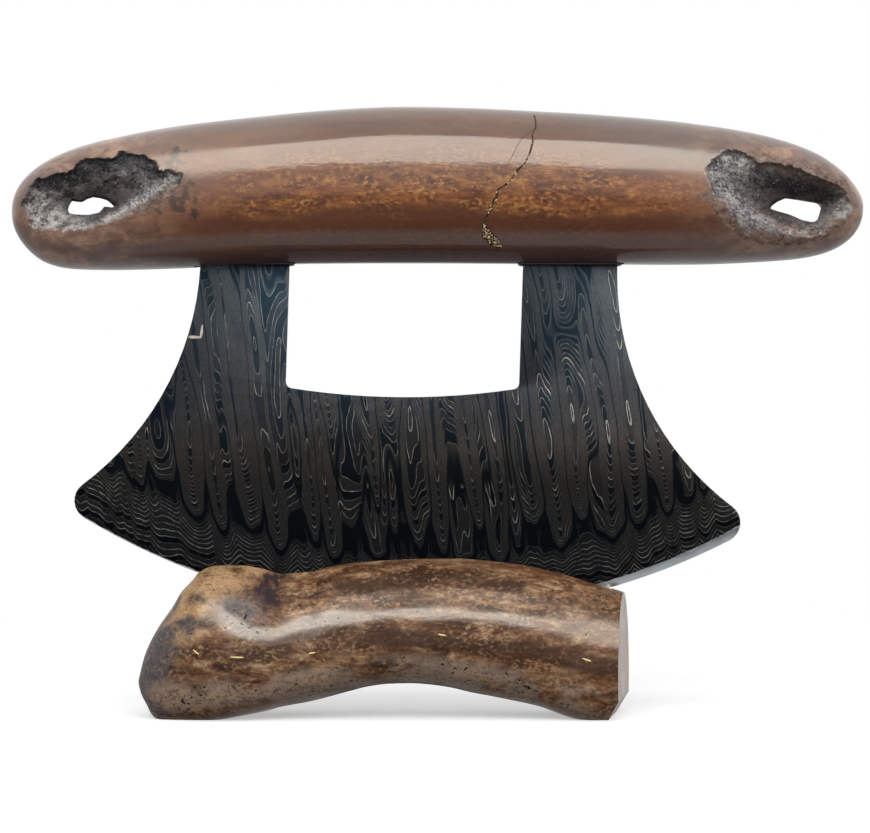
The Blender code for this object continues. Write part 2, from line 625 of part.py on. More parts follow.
def make_stand(material):
    stand = add_object("display_stand", stand_loft(), material)
    boolean(stand, end_cutter("saw_cut", 0.0, 0.0))
    boolean(stand, end_cutter("corner_cut", CORNER_RISE, CORNER_ANGLE))
    reach = STAND_LENGTH + OVERRUN
    floor = block((STAND_OFFSET - reach, -STAND_DEPTH, -STAND_DEPTH),
                  (STAND_OFFSET + reach, STAND_DEPTH, 0.0))
    boolean(stand, add_object("floor_cut", floor))
    boolean(stand, slot_cutter())
    return stand


def shade(item):
    item.data.shade_smooth()
    item.data.set_sharp_from_angle(angle=SHARP_ANGLE)


def main():
    clear_scene()
    bone = make_material("polished_fossil_bone", (0.215, 0.098, 0.045), 0.22, 0.0)
    stand_bone = make_material("polished_stand_bone", (0.240, 0.125, 0.065), 0.20, 0.0)
    steel = make_material("etched_layered_steel", (0.030, 0.033, 0.038), 0.45, 0.9)
    epoxy = make_material("dark_epoxy", (0.015, 0.012, 0.010), 0.35, 0.0)
    mineral = make_material("mineral_filler", (0.480, 0.360, 0.220), 0.70, 0.0)
    pieces = [make_handle(bone), make_blade(steel), make_crack_filler(mineral),
              make_stand(stand_bone)]
    for name, low, high in tang_sites():
        pieces.append(make_epoxy(name, low, high, epoxy))
    for piece in pieces:
        shade(piece)


main()
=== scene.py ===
# %% [markdown]
# # An ulu with a bone handle and a layered-steel blade, on its display stand
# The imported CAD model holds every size, joint and place. This lesson dresses it: it loads the
# model as a fixed frame, and then each step makes one piece or one finish of the real object.
# Lengths are worked out in millimetres and turned into metres when a mesh is written.

# %% Load the frame
import math

import bmesh
import bpy
import numpy as np
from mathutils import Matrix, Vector, noise


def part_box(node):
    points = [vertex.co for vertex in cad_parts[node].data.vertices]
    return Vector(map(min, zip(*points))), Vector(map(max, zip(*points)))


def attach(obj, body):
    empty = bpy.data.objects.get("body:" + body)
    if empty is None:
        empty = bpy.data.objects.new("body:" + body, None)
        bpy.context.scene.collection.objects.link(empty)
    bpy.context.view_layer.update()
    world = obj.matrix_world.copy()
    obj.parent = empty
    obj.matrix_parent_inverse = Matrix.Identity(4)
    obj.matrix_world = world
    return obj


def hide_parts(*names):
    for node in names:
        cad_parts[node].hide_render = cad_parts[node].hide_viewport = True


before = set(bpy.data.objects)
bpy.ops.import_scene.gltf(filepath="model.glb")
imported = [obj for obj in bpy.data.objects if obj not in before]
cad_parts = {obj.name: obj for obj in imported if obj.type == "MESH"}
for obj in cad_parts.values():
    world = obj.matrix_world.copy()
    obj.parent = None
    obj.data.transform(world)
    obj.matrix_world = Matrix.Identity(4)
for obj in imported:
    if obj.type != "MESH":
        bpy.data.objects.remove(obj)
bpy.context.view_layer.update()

MM = 0.001
scene = bpy.context.scene

# %% [markdown]
# ## The camera
# The photograph was taken from straight ahead, level with the middle of the blade and close
# enough for perspective to show. A perspective camera at that distance has to come first, because
# marks such as the crack are placed by the pixel that shows them, on the surface under it.

# %% Camera
PHOTO_MIDDLE = (435.0, 416.5)
PIXEL_MM = 0.23056          # size of a photograph pixel on the blade
CAMERA_MM = (-0.58, -650.0, 69.05)
SENSOR_MM = 36.0


def link_object(name, data):
    """A new object of that name, put into the scene."""
    item = bpy.data.objects.new(name, data)
    scene.collection.objects.link(item)
    return item


def seen_at(pixel, skin):
    """Place (x, z) in mm seen at a pixel, on a front surface of half depth skin or skin(x, z)."""
    y = 0.0
    for _ in range(8):
        reach = 1 - y / CAMERA_MM[1]
        x = CAMERA_MM[0] + (pixel[0] - PHOTO_MIDDLE[0]) * PIXEL_MM * reach
        z = CAMERA_MM[2] + (PHOTO_MIDDLE[1] - pixel[1]) * PIXEL_MM * reach
        y = -float(skin(x, z) if callable(skin) else skin)
    return x, z


def outline_at(pixels, skin):
    return np.array([seen_at(pixel, skin) for pixel in pixels])


camera_data = bpy.data.cameras.new("camera")
camera_data.sensor_width = SENSOR_MM
camera_data.lens = SENSOR_MM * -CAMERA_MM[1] / (2 * PHOTO_MIDDLE[0] * PIXEL_MM)
camera_data.clip_start = 0.05
scene.camera = link_object("camera", camera_data)
scene.camera.location = Vector(CAMERA_MM) * MM
scene.camera.rotation_euler = (math.pi / 2, 0.0, 0.0)
print("lens", round(camera_data.lens, 1), "mm")

# %% [markdown]
# ## Small helpers for materials
# Finishes are written as sRGB hex colours, as a colour picker shows them. Shaders want linear
# values, so one function turns them round. A second function adds any node, sets it up and
# links it, and returns the output that the next node needs. The rest are short names for the
# nodes that come most often.

# %% Colour and node helpers
def linear(code):
    """An sRGB hex colour as a linear RGBA value."""
    parts = [int(code[i:i + 2], 16) / 255 for i in (0, 2, 4)]
    return tuple(c / 12.92 if c <= 0.04045 else ((c + 0.055) / 1.055) ** 2.4 for c in parts) + (1.0,)


def socket_of(sockets, key):
    """The socket of that name, or at that place, among those that are in use."""
    live = [socket for socket in sockets if socket.enabled]
    if isinstance(key, int):
        return live[key]
    return next(socket for socket in live if socket.name == key)


def add(tree, kind, sockets=None, output=0, stops=(), **settings):
    """Add a node, set its properties, fill or link its sockets, and return one of its outputs."""
    node = tree.nodes.new(kind)
    for name, value in settings.items():
        setattr(node, name, value)
    if stops:
        ramp = node.color_ramp
        ramp.elements.remove(ramp.elements[-1])
        ramp.elements[0].position = stops[0][0]
        ramp.elements[0].color = linear(stops[0][1])
        for place, code in stops[1:]:
            ramp.elements.new(place).color = linear(code)
    for key, value in (sockets or {}).items():
        target = socket_of(node.inputs, key)
        if isinstance(value, bpy.types.NodeSocket):
            tree.links.new(value, target)
        else:
            target.default_value = linear(value) if target.type == "RGBA" else value
    if not [socket for socket in node.outputs if socket.enabled]:
        return None
    return socket_of(node.outputs, output)


def calc(tree, operation, *values):
    """One step of arithmetic on one to three numbers."""
    return add(tree, "ShaderNodeMath", dict(enumerate(values)), operation=operation)


def chain(tree, operation, value, *others):
    """A number combined with each of the others in turn."""
    for other in others:
        value = calc(tree, operation, value, other)
    return value


def vector(tree, operation, *values, **named):
    """One step of arithmetic on vectors."""
    return add(tree, "ShaderNodeVectorMath", {**dict(enumerate(values)), **named}, operation=operation)


def remap(tree, value, low, high, to_low=0.0, to_high=1.0, kind="LINEAR"):
    """A number carried from one range to another, and held inside it."""
    return add(tree, "ShaderNodeMapRange", {"Value": value, "From Min": low, "From Max": high,
                                            "To Min": to_low, "To Max": to_high}, interpolation_type=kind)


def mix(tree, share, under, over, kind="RGBA"):
    """A colour, or a number with the kind FLOAT, laid over another by a share."""
    return add(tree, "ShaderNodeMix", {"Factor": share, "A": under, "B": over}, data_type=kind)


def tones(tree, value, stops):
    return add(tree, "ShaderNodeValToRGB", {"Fac": value}, stops=stops)


def part_of(tree, value, axis):
    return add(tree, "ShaderNodeSeparateXYZ", {0: value}, output=axis)


def attribute(tree, name):
    return add(tree, "ShaderNodeAttribute", output="Fac", attribute_name=name)


def object_place(tree):
    return add(tree, "ShaderNodeTexCoord", output="Object")


def noise_mm(tree, size, detail=2.0, rough=0.5, warp=0.0, shift=(0, 0, 0)):
    """Noise from 0 to 1 with features of a size in mm."""
    scale = tuple(1000.0 / length for length in size)
    place = add(tree, "ShaderNodeMapping", {"Vector": object_place(tree), "Scale": scale,
                                            "Location": shift})
    return add(tree, "ShaderNodeTexNoise", {"Vector": place, "Scale": 1.0, "Detail": detail,
                                            "Roughness": rough, "Distortion": warp})


def spot(tree, place, centre, half_sizes, lean=0.0):
    """Distance from a small oval mark's centre, 1 at its rim; sizes in mm, lean in degrees."""
    off = vector(tree, "SUBTRACT", place, [a * MM for a in centre])
    off = add(tree, "ShaderNodeMapping", {"Vector": off, "Rotation": (0, math.radians(lean), 0)})
    off = vector(tree, "MULTIPLY", off, [1 / (a * MM) for a in half_sizes])
    return vector(tree, "LENGTH", off)


def bump(tree, height, distance, strength):
    return add(tree, "ShaderNodeBump", {"Height": height, "Distance": distance, "Strength": strength})


def new_material(name):
    """An empty material and its tree. Its shader is added with the material's own values."""
    material = bpy.data.materials.new(name)
    material.use_nodes = True
    material.node_tree.nodes.clear()
    return material, material.node_tree


def coat_of(tree, values):
    """End a material with a Principled shader of those values."""
    shader = add(tree, "ShaderNodeBsdfPrincipled", values)
    add(tree, "ShaderNodeOutputMaterial", {"Surface": shader})


print("helpers ready")

# %% [markdown]
# ## A plain studio
# The photograph has a white background, one large soft box above the camera, a dim wall under it
# and a dark patch where the photographer stands. Polished bone mirrors all of them, so the world
# and the floor show them to reflections. To the camera both are white, and the floor keeps the
# object's shadow near the object.

# %% Floor, world and lamps
# name, azimuth, elevation, distance, width, height, watts, tint and what doesn't see it. The
# panels show only in the polish: the box is brighter in its middle, and has a bright upper rim.
LAMPS = [("front_soft_box", 0, 38.5, 1.2, 2.2, 0.80, 15.5, "ffffff", "visible_glossy"),
         ("top_soft_box", 0, 82, 1.2, 1.2, 0.5, 3.0, "ffffff", "visible_glossy"),
         ("wide_sheen_panel", 5, 38.5, 1.22, 1.95, 0.78, 12.0, "fff9ea", "visible_diffuse"),
         ("narrow_sheen_panel", 7, 38.5, 1.18, 1.30, 0.78, 12.3, "fffbf0", "visible_diffuse"),
         ("bright_panel_rim", 5, 57.5, 1.16, 1.6, 0.035, 0.75, "ffffff", "visible_diffuse")]
LAMP_AIM = (0.0, 0.0, 0.09)
FLOOR_HALF = 6.0


def by_ray(tree, others, glossy, camera):
    """One shader for camera rays, one for glossy rays and one for all others."""
    is_glossy, is_camera = (add(tree, "ShaderNodeLightPath", output=f"Is {kind} Ray")
                            for kind in ("Glossy", "Camera"))
    mixed = add(tree, "ShaderNodeMixShader", {0: is_glossy, 1: others, 2: glossy})
    return add(tree, "ShaderNodeMixShader", {0: is_camera, 1: mixed, 2: camera})


def glow(tree, strength, kind="Emission"):
    return add(tree, "ShaderNode" + kind, {"Color": "ffffff", "Strength": strength})


def make_floor():
    mesh = bpy.data.meshes.new("studio_floor")
    corners = [(x * FLOOR_HALF, y * FLOOR_HALF, 0) for x, y in ((-1, -1), (1, -1), (1, 1), (-1, 1))]
    mesh.from_pydata(corners, [], [(0, 1, 2, 3)])
    floor = link_object("studio_floor", mesh)
    material, tree = new_material("matt_white_paper_floor")
    place = object_place(tree)
    away = vector(tree, "DISTANCE", place, (-0.01, 0, 0))
    far = remap(tree, away, 0.12, 0.34, kind="SMOOTHSTEP")
    paper = add(tree, "ShaderNodeBsdfDiffuse", {"Color": "e6e6e6"})
    lit = add(tree, "ShaderNodeAddShader", {0: paper, 1: glow(tree, 0.42)})
    seen = add(tree, "ShaderNodeMixShader", {0: far, 1: lit, 2: glow(tree, 1.0)})
    # Reflections see lit paper up to the photographer's shadow, which starts a hand in front
    aside, ahead = part_of(tree, place, "X"), part_of(tree, place, "Y")
    open_front = remap(tree, ahead, -0.11, -0.07)
    open_left = remap(tree, aside, -0.09, -0.13)
    # Behind the blade they see its shade
    off = calc(tree, "ABSOLUTE", calc(tree, "ADD", aside, 0.009))
    beside = remap(tree, off, 0.045, 0.075, 0.22)
    before, beyond = remap(tree, ahead, 0.01, 0.0), remap(tree, ahead, 0.25, 0.60)
    clear = chain(tree, "MAXIMUM", beside, before, beyond)
    open_floor = calc(tree, "MAXIMUM", calc(tree, "MULTIPLY", open_front, clear), open_left)
    mirrored = glow(tree, remap(tree, open_floor, 0, 1, 0.03, 0.6))
    grey = add(tree, "ShaderNodeBsdfDiffuse", {"Color": "8c8c8c"})
    add(tree, "ShaderNodeOutputMaterial", {"Surface": by_ray(tree, grey, mirrored, seen)})
    mesh.materials.append(material)


def make_world():
    world = bpy.data.worlds.new("studio_room")
    world.use_nodes = True
    scene.world = world
    tree = world.node_tree
    tree.nodes.clear()
    direction = add(tree, "ShaderNodeTexCoord", output="Generated")
    aside, ahead, up = (part_of(tree, direction, axis) for axis in "XYZ")
    # A dim wall from just below eye level up to the soft box, open to the left and behind
    wall = calc(tree, "MULTIPLY", remap(tree, up, -0.10, -0.04, 0.03, 0.85),
                remap(tree, up, 0.30, 0.42, 1.0, 0.2))
    left, right = remap(tree, aside, -0.09, -0.14), remap(tree, aside, 0.22, 0.40)
    backdrop = remap(tree, ahead, -0.35, 0.25, 0, 0.9)
    ceiling = remap(tree, up, 0.9, 0.98, 0, 0.5)
    room = chain(tree, "MAXIMUM", wall, left, right, backdrop, ceiling)
    dim, mirrored, white = (glow(tree, strength, "Background") for strength in (0.40, room, 1.0))
    add(tree, "ShaderNodeOutputWorld", {"Surface": by_ray(tree, dim, mirrored, white)})


def make_lamp(name, azimuth, elevation, distance, width, height, watts, tint, hidden_from):
    """A soft box that faces the object from a direction, in degrees, round the blade's middle."""
    data = bpy.data.lights.new(name, "AREA")
    data.color = linear(tint)[:3]
    data.shape = "RECTANGLE"
    data.size = width
    data.size_y = height
    data.energy = watts
    lamp = link_object(name, data)
    turn, rise = math.radians(azimuth), math.radians(elevation)
    away = Vector((math.sin(turn) * math.cos(rise), -math.cos(turn) * math.cos(rise), math.sin(rise)))
    lamp.location = Vector(LAMP_AIM) + away * distance
    lamp.rotation_euler = away.to_track_quat("Z", "Y").to_euler()
    setattr(lamp, hidden_from, False)


make_floor()
make_world()
for lamp in LAMPS:
    make_lamp(*lamp)
scene.view_settings.view_transform = "Standard"
print("studio ready, with", len(LAMPS), "lamps")

# %% [markdown]
# ## Mesh helpers
# The bone pieces are lofts: closed rings of points carried along the knife. Numpy works on whole
# rings at once. Cuts are Boolean modifiers, which are then turned into a plain mesh, because the
# finished piece has to be one mesh at the origin.

# %% Curves, noise and distances
def smooth_curve(table, places):
    """Read a smooth curve, which never overshoots, through a table of (place, value) pairs."""
    xs, ys = np.array(table, float).T
    steps = np.diff(xs)
    rises = np.diff(ys) / steps
    product, total = rises[:-1] * rises[1:], rises[:-1] + rises[1:]
    bends = np.where(product > 0, 2 * product / np.where(total == 0, 1, total), 0.0)
    slopes = np.concatenate(([rises[0]], bends, [rises[-1]]))
    places = np.clip(places, xs[0], xs[-1])
    i = np.clip(np.searchsorted(xs, places, side="right") - 1, 0, len(steps) - 1)
    t = (places - xs[i]) / steps[i]
    start, end, change = slopes[i] * steps[i], slopes[i + 1] * steps[i], ys[i + 1] - ys[i]
    return ys[i] + t * (start + t * (3 * change - 2 * start - end + t * (start + end - 2 * change)))


def fade(low, high, value):
    """0 below low, 1 above high and a smooth step between them."""
    t = np.clip((value - low) / (high - low), 0, 1)
    return t * t * (3 - 2 * t)


def grain(points, size, seed, octaves=2):
    """Smooth noise from about -1 to 1 at each point, with features of a size in mm."""
    shift = Vector((seed * 13.7, seed * 5.1, seed * 7.9))
    scaled = np.asarray(points, float) / np.asarray(size, float)
    return np.array([noise.fractal(Vector(p) + shift, 1.0, 2.0, octaves) for p in scaled])


def line_distance(x, z, line, closed=False):
    """Distance from points to a line of (x, z) corners, in mm."""
    ends = np.roll(line, -1, axis=0) if closed else line[1:]
    starts = line if closed else line[:-1]
    best = np.full(np.shape(x), 1e9)
    for (ax, az), (bx, bz) in zip(starts, ends):
        dx, dz = bx - ax, bz - az
        t = np.clip(((x - ax) * dx + (z - az) * dz) / (dx * dx + dz * dz), 0, 1)
        best = np.minimum(best, np.hypot(x - ax - t * dx, z - az - t * dz))
    return best


def inside_distance(x, z, outline):
    """Distance from points to a closed outline, positive inside it, in mm."""
    inside = np.zeros(np.shape(x), bool)
    for (ax, az), (bx, bz) in zip(outline, np.roll(outline, -1, axis=0)):
        if az == bz:
            continue
        crosses = (az > z) != (bz > z)
        inside ^= crosses & (x < (bx - ax) * (z - az) / (bz - az) + ax)
    return np.where(inside, 1, -1) * line_distance(x, z, outline, True)


# %% Lofts, cuts and meshes
def section_rings(x, top, bottom, depth, upper_power, lower_power, widest_share, angles):
    """Upright rounded sections as an array: one ring of points for each place x."""
    side, rise = np.cos(angles)[None, :], np.sin(angles)[None, :]
    widest = (bottom + (top - bottom) * widest_share)[:, None]
    power = np.where(rise >= 0, upper_power[:, None], lower_power[:, None])
    end = np.where(rise >= 0, top[:, None], bottom[:, None])
    y = depth[:, None] * np.sign(side) * np.abs(side) ** (2 / power)
    z = widest + (end - widest) * np.abs(rise) ** (2 / power)
    return np.stack([np.broadcast_to(x[:, None], y.shape), y, z], axis=-1)


def ground_waves(rings, x, top, bottom, size, seed, most):
    """Long shallow waves of hand grinding, which go inwards from the measured outside."""
    middle = np.stack([x, np.zeros(len(x)), (top + bottom) / 2], axis=1)[:, None, :]
    waves = grain(rings.reshape(-1, 3), size, seed).reshape(rings.shape[:2] + (1,))
    share = 1 - most * np.clip(0.5 + 0.5 * waves, 0, 1)
    rings[..., 1:] = (middle + (rings - middle) * share)[..., 1:]
    return rings


def add_mesh(name, points, faces, materials=()):
    """Write points in mm and faces as an object, with its faces turned outwards."""
    mesh = bpy.data.meshes.new(name)
    mesh.from_pydata([tuple(p) for p in np.asarray(points, float) * MM], [], faces)
    shape = bmesh.new()
    shape.from_mesh(mesh)
    bmesh.ops.recalc_face_normals(shape, faces=shape.faces)
    shape.to_mesh(mesh)
    shape.free()
    for material in materials:
        mesh.materials.append(material)
    return link_object(name, mesh)


def write_shape(name, shape):
    """Write a worked shape as a new object, and free it."""
    mesh = bpy.data.meshes.new(name)
    shape.to_mesh(mesh)
    shape.free()
    return link_object(name, mesh)


def loft(name, rings, tips=(None, None), materials=()):
    """Closed mesh through rings of points. An end is a fan to its tip, or a flat cap."""
    count, sides = rings.shape[:2]
    points = list(rings.reshape(-1, 3))
    faces = []
    for row in range(count - 1):
        for i in range(sides):
            j = (i + 1) % sides
            near, far = row * sides, (row + 1) * sides
            faces.append((near + i, near + j, far + j, far + i))
    for row, tip in ((0, tips[0]), (count - 1, tips[1])):
        loop = [row * sides + i for i in range(sides)]
        if tip is None:
            faces.append(loop)
            continue
        points.append(tip)
        faces += [(loop[i], loop[(i + 1) % sides], len(points) - 1) for i in range(sides)]
    return add_mesh(name, points, faces, materials)


def prism(name, outline, front, back, material, lean=0.0):
    """An outline of (x, z) points carried from one depth to another, and leaning along x."""
    rings = [[(x + lean * y, y, z) for x, z in outline] for y in (front, back)]
    return loft(name, np.array(rings), materials=[material])


def settle(item, tools=()):
    """Cut the tools out, and turn the object and its modifiers into a plain mesh."""
    for tool in tools:
        step = item.modifiers.new(tool.name, "BOOLEAN")
        step.operation = "DIFFERENCE"
        step.solver = "EXACT"
        step.material_mode = "TRANSFER"
        step.object = tool
    bpy.context.view_layer.update()
    evaluated = item.evaluated_get(bpy.context.evaluated_depsgraph_get())
    old, item.data = item.data, bpy.data.meshes.new_from_object(evaluated)
    item.data.name = item.name
    item.modifiers.clear()
    bpy.data.meshes.remove(old)
    for tool in tools:
        bpy.data.objects.remove(tool, do_unlink=True)
    return item


def mesh_points(item):
    """All points of an object's mesh in mm, as an array."""
    flat = np.empty(len(item.data.vertices) * 3)
    item.data.vertices.foreach_get("co", flat)
    return flat.reshape(-1, 3) / MM


def write_attribute(item, name, values):
    """Store one number for each point, which a material or a node tree can read."""
    item.data.attributes.new(name, "FLOAT", "POINT").data.foreach_set(
        "value", np.asarray(values, np.float32))


def smooth_shade(item, sharp_degrees):
    item.data.shade_smooth()
    item.data.set_sharp_from_angle(angle=math.radians(sharp_degrees))


print("mesh helpers ready")

# %% [markdown]
# ## The handle's form
# The handle is one piece of fossil bone, ground to an arch that lies well in the hand
# and polished. Its outside is a loft: at each place along the knife the section is a rounded
# form, whose top and bottom follow two measured curves. The same curves stand in the CAD source.

# %% Form of the handle
HANDLE_LENGTH = 196.2
HANDLE_HEIGHT = 36.2
HANDLE_DEPTH = 30.0
UNDERSIDE = 104.2               # height of the handle's underside above the floor
HANDLE_POWER = 2.3              # of the section's rounded form
CROWN_POWER = 2.2               # of the arch, seen from the front
BELLY_POWER = 12
PLAN_POWER = 6                  # of the outline, seen from above
LEFT_TIP_SHARE = 0.326
RIGHT_TIP_SHARE = 0.358
CROWN_SHARES = [(-1.0, 1.15), (-0.9, 1.095), (-0.7, 1.012), (-0.45, 0.982), (-0.1, 1.005),
                (0.3, 0.967), (0.6, 0.983), (0.88, 1.034), (0.95, 0.974), (1.0, 0.80)]
BELLY_SHARES = [(-1.0, 1.05), (-0.92, 1.18), (-0.8, 1.12), (-0.6, 1.06), (-0.3, 0.987),
                (0.0, 1.0), (0.3, 1.027), (0.6, 1.045), (0.8, 1.02), (1.0, 1.03)]
CENTRE_SHARE = (LEFT_TIP_SHARE + RIGHT_TIP_SHARE) / 2
FINE_STEP = 0.42                # between sections over the hollows
OPEN_STEP = 1.5                 # and between the hollows
FINE_REACH = 46                 # from each tip
HANDLE_WAVES = ((30, 12, 12), 3, 0.012)     # size in mm, seed and largest share ground off


def handle_form(x):
    """Top, bottom and half depth of the handle at places x, in mm."""
    place = np.clip(np.asarray(x, float) / (HANDLE_LENGTH / 2), -1, 1)
    far = np.abs(place)
    tip_share = LEFT_TIP_SHARE + (RIGHT_TIP_SHARE - LEFT_TIP_SHARE) * (place + 1) / 2
    tip = UNDERSIDE + HANDLE_HEIGHT * tip_share
    crown = (1 - far ** CROWN_POWER) ** (1 / CROWN_POWER) * smooth_curve(CROWN_SHARES, place)
    belly = np.sqrt(1 - far ** BELLY_POWER) * smooth_curve(BELLY_SHARES, place)
    top = tip + HANDLE_HEIGHT * (1 - CENTRE_SHARE) * crown
    bottom = tip - HANDLE_HEIGHT * CENTRE_SHARE * belly
    return top, bottom, HANDLE_DEPTH / 2 * np.sqrt(1 - far ** PLAN_POWER)


def handle_skin(x, z):
    """Half depth of the handle at places (x, z), in mm."""
    top, bottom, depth = handle_form(x)
    reach = np.maximum((top - bottom) / 2, 1e-6)
    off = np.minimum(np.abs(z - (top + bottom) / 2) / reach, 1.0)
    return depth * (1 - off ** HANDLE_POWER) ** (1 / HANDLE_POWER)


def handle_places():
    """Places along the handle: crowded at its noses, fine over the hollows, open between them."""
    gaps = [0.02 * k * k for k in range(1, 11)]
    while gaps[-1] < HANDLE_LENGTH / 2 - 1.0:
        gaps.append(gaps[-1] + (FINE_STEP if gaps[-1] < FINE_REACH else OPEN_STEP))
    left = np.array(gaps) - HANDLE_LENGTH / 2
    left = left[left < -0.5]
    return np.concatenate((left, [0.0], -left[::-1]))


def handle_angles():
    """Angles round the section: finest in front, where the hollows are deepest."""
    pieces = [np.arange(-60, 60, 2.0), np.arange(60, 112, 4.0), np.arange(112, 248, 1.25),
              np.arange(248, 300, 4.0)]
    return np.radians(np.concatenate(pieces))


print("handle is", HANDLE_LENGTH, "mm long, with", len(handle_places()), "sections")

# %% [markdown]
# ## The hollows in the ends
# At each end the dense bone gives way to a rough hollow with spongy bone inside, and a hole goes
# right through. A hollow is not a regular shape, so its rim, its hole and its pale ridge are
# drawn as outlines by the pixels that show them. The depth at a point grows from the rim to the
# hole. Noise makes the rim ragged, and the cells of a Voronoi pattern make the sponge.

# %% Outlines of the hollows
LEFT_RIM_PIXELS = [(20, 206), (25, 197), (29, 187), (36, 180), (47, 175), (68, 172), (75, 165),
                   (85, 158.5), (99, 157), (113, 158.5), (119, 152), (123, 150), (128, 154),
                   (142, 153.5), (149, 157.5), (156, 162), (158, 169), (171, 171), (181, 174),
                   (180, 185), (173, 190), (166, 196), (152, 204), (136, 211), (120, 218),
                   (104, 224), (85, 229.5), (64, 231), (47, 229.5), (32, 227), (28, 216)]
LEFT_HOLE_PIXELS = [(65.4, 208.5), (67, 203), (69.7, 198.5), (75, 199.5), (80, 199.5), (85, 196.5),
                    (91, 194.5), (98, 195.5), (104.5, 197.2), (109, 200.5), (112, 203.5),
                    (114.2, 206.2), (109.5, 207.8), (106, 207), (102, 206.8), (100, 209.5),
                    (97, 212.8), (87, 214.6), (80, 214.6), (72, 214), (67, 212.8)]
LEFT_RIDGE_PIXELS = [(171, 179), (166, 185), (159, 190), (151, 195), (143, 200.5), (134, 205),
                     (122, 212), (114, 217), (106, 220)]
RIGHT_RIM_PIXELS = [(707, 168), (713, 159), (720, 153.5), (729, 150), (736, 149), (745, 152),
                    (752, 158), (760, 163), (777, 163), (793, 165.6), (805, 172), (822, 178.5),
                    (839, 186), (848, 194), (850, 204), (846, 213), (838, 222), (826, 232),
                    (812, 236.5), (800, 237), (784, 233), (771, 224), (755, 218), (740, 211),
                    (727, 203), (716, 196), (710, 188), (707, 178)]
RIGHT_HOLE_PIXELS = [(772, 206.5), (774, 203), (779.6, 199), (787.6, 195.7), (800, 197.5),
                     (822, 201.8), (823.8, 204.6), (822, 212), (819.7, 219), (817, 221),
                     (813, 221.4), (803.7, 219.5), (797, 216.5), (790, 213.8), (781, 211.5),
                     (773, 209)]
HOLE_DEPTH = 4.0                # half depth at which the holes' outlines are seen
left_rim, left_ridge, right_rim = (outline_at(pixels, handle_skin) for pixels in
                                   (LEFT_RIM_PIXELS, LEFT_RIDGE_PIXELS, RIGHT_RIM_PIXELS))
left_hole, right_hole = (outline_at(pixels, HOLE_DEPTH) for pixels in (LEFT_HOLE_PIXELS, RIGHT_HOLE_PIXELS))
hollows = [("left", left_rim, left_hole, left_ridge), ("right", right_rim, right_hole, None)]
print("left hollow spans", np.ptp(left_rim, axis=0).round(1), "mm")

# %% Depth of a hollow at each point
RIM_DROP = 0.9
RIM_STEP = 0.5                  # width of a sharp rim
GENTLE_STEP = 3.0               # and how much wider a gentle one is
RIM_WANDER = 0.55               # how far noise moves the rim
RIM_GRAIN = 1.6                 # size of that noise
RIDGE_HALF = 1.5
RIDGE_SHARE = 0.72              # how much of the depth the ridge takes away
SHELF_DEPTH = 1.1               # largest depth under the ridge
BOWL_DEPTH = 8.6
BACK_SHARE = 0.62               # size of the hollow behind, of the one in front
THROAT_SHARE = 0.12             # the bowls stay this share of the half depth apart
SPONGE_CELL = 0.85


def sponge_pits(x, z, seed):
    """0 on the walls between the uneven cells of the spongy bone, 1 in their middles."""
    spots = np.stack([x, z, np.full(len(x), seed * 3.3)], axis=1)
    bent = spots / SPONGE_CELL
    bent[:, 0] += 0.9 * grain(spots, 1.9, seed + 7)
    bent[:, 1] += 0.9 * grain(spots, 1.9, seed + 8)
    near = [noise.voronoi(Vector(spot))[0] for spot in bent]
    pits = np.array([distances[1] - distances[0] for distances in near])
    return fade(0.02, 0.5, pits) * fade(-0.55, 0.25, grain(spots, 2.1, seed + 9))


def hollow_relief(x, z, rim, hole, ridge, seed):
    """Depth below the skin in mm, how far inside the rim, and the sponge, for points near a hollow."""
    points = np.stack([x, z, np.full(len(x), 0.0)], axis=1)
    ragged = (place + RIM_WANDER * grain(points, RIM_GRAIN, seed + i, 3) for i, place in enumerate((x, z)))
    inside = inside_distance(*ragged, rim)
    to_hole = np.maximum(-inside_distance(x, z, hole), 0)
    share = np.clip(inside, 0, None) / (np.clip(inside, 0, None) + to_hole + 1e-6)
    # A rim is a sharp step, but the lower side of a hollow without a ridge starts gently
    step = RIM_STEP + GENTLE_STEP * fade(124, 117, z) * (ridge is None)
    depth = RIM_DROP * fade(0, step, inside) + (BOWL_DEPTH - RIM_DROP) * share ** 0.9
    if ridge is not None:
        near_ridge = np.exp(-(line_distance(x, z, ridge) / RIDGE_HALF) ** 2)
        depth *= 1 - RIDGE_SHARE * near_ridge
        below = np.interp(x, np.sort(ridge[:, 0]), ridge[np.argsort(ridge[:, 0]), 1]) > z
        depth = np.where(below & (x > ridge[:, 0].min()), np.minimum(depth, SHELF_DEPTH), depth)
    pits = sponge_pits(x, z, seed)
    rough = (0.55 * grain(points, 2.2, seed + 2, 4) + 0.6 * pits) * (0.65 if ridge is None else 1.0)
    depth += rough * fade(0.2, 1.4, inside)
    return np.where(inside > 0, np.maximum(depth, 0), 0), inside, pits


def hollow_areas(points, margin, past_middle):
    """For each hollow, in front and behind: its number, side, ridge, near points and their relief."""
    for seed, (_, rim, hole, ridge) in enumerate(hollows):
        centre = hole.mean(axis=0)
        for side, outline in ((-1, rim), (1, centre + (rim - centre) * BACK_SHARE)):
            low, high = outline.min(axis=0) - margin, outline.max(axis=0) + margin
            x, y, z = points.T
            near = (side * y > past_middle) & (x > low[0]) & (x < high[0]) & (z > low[1]) & (z < high[1])
            chosen = np.nonzero(near)[0]
            lip = ridge if side < 0 else None
            relief = hollow_relief(x[chosen], z[chosen], outline, hole, lip, 4 * seed + side + 2)
            yield seed, side, lip, chosen, relief


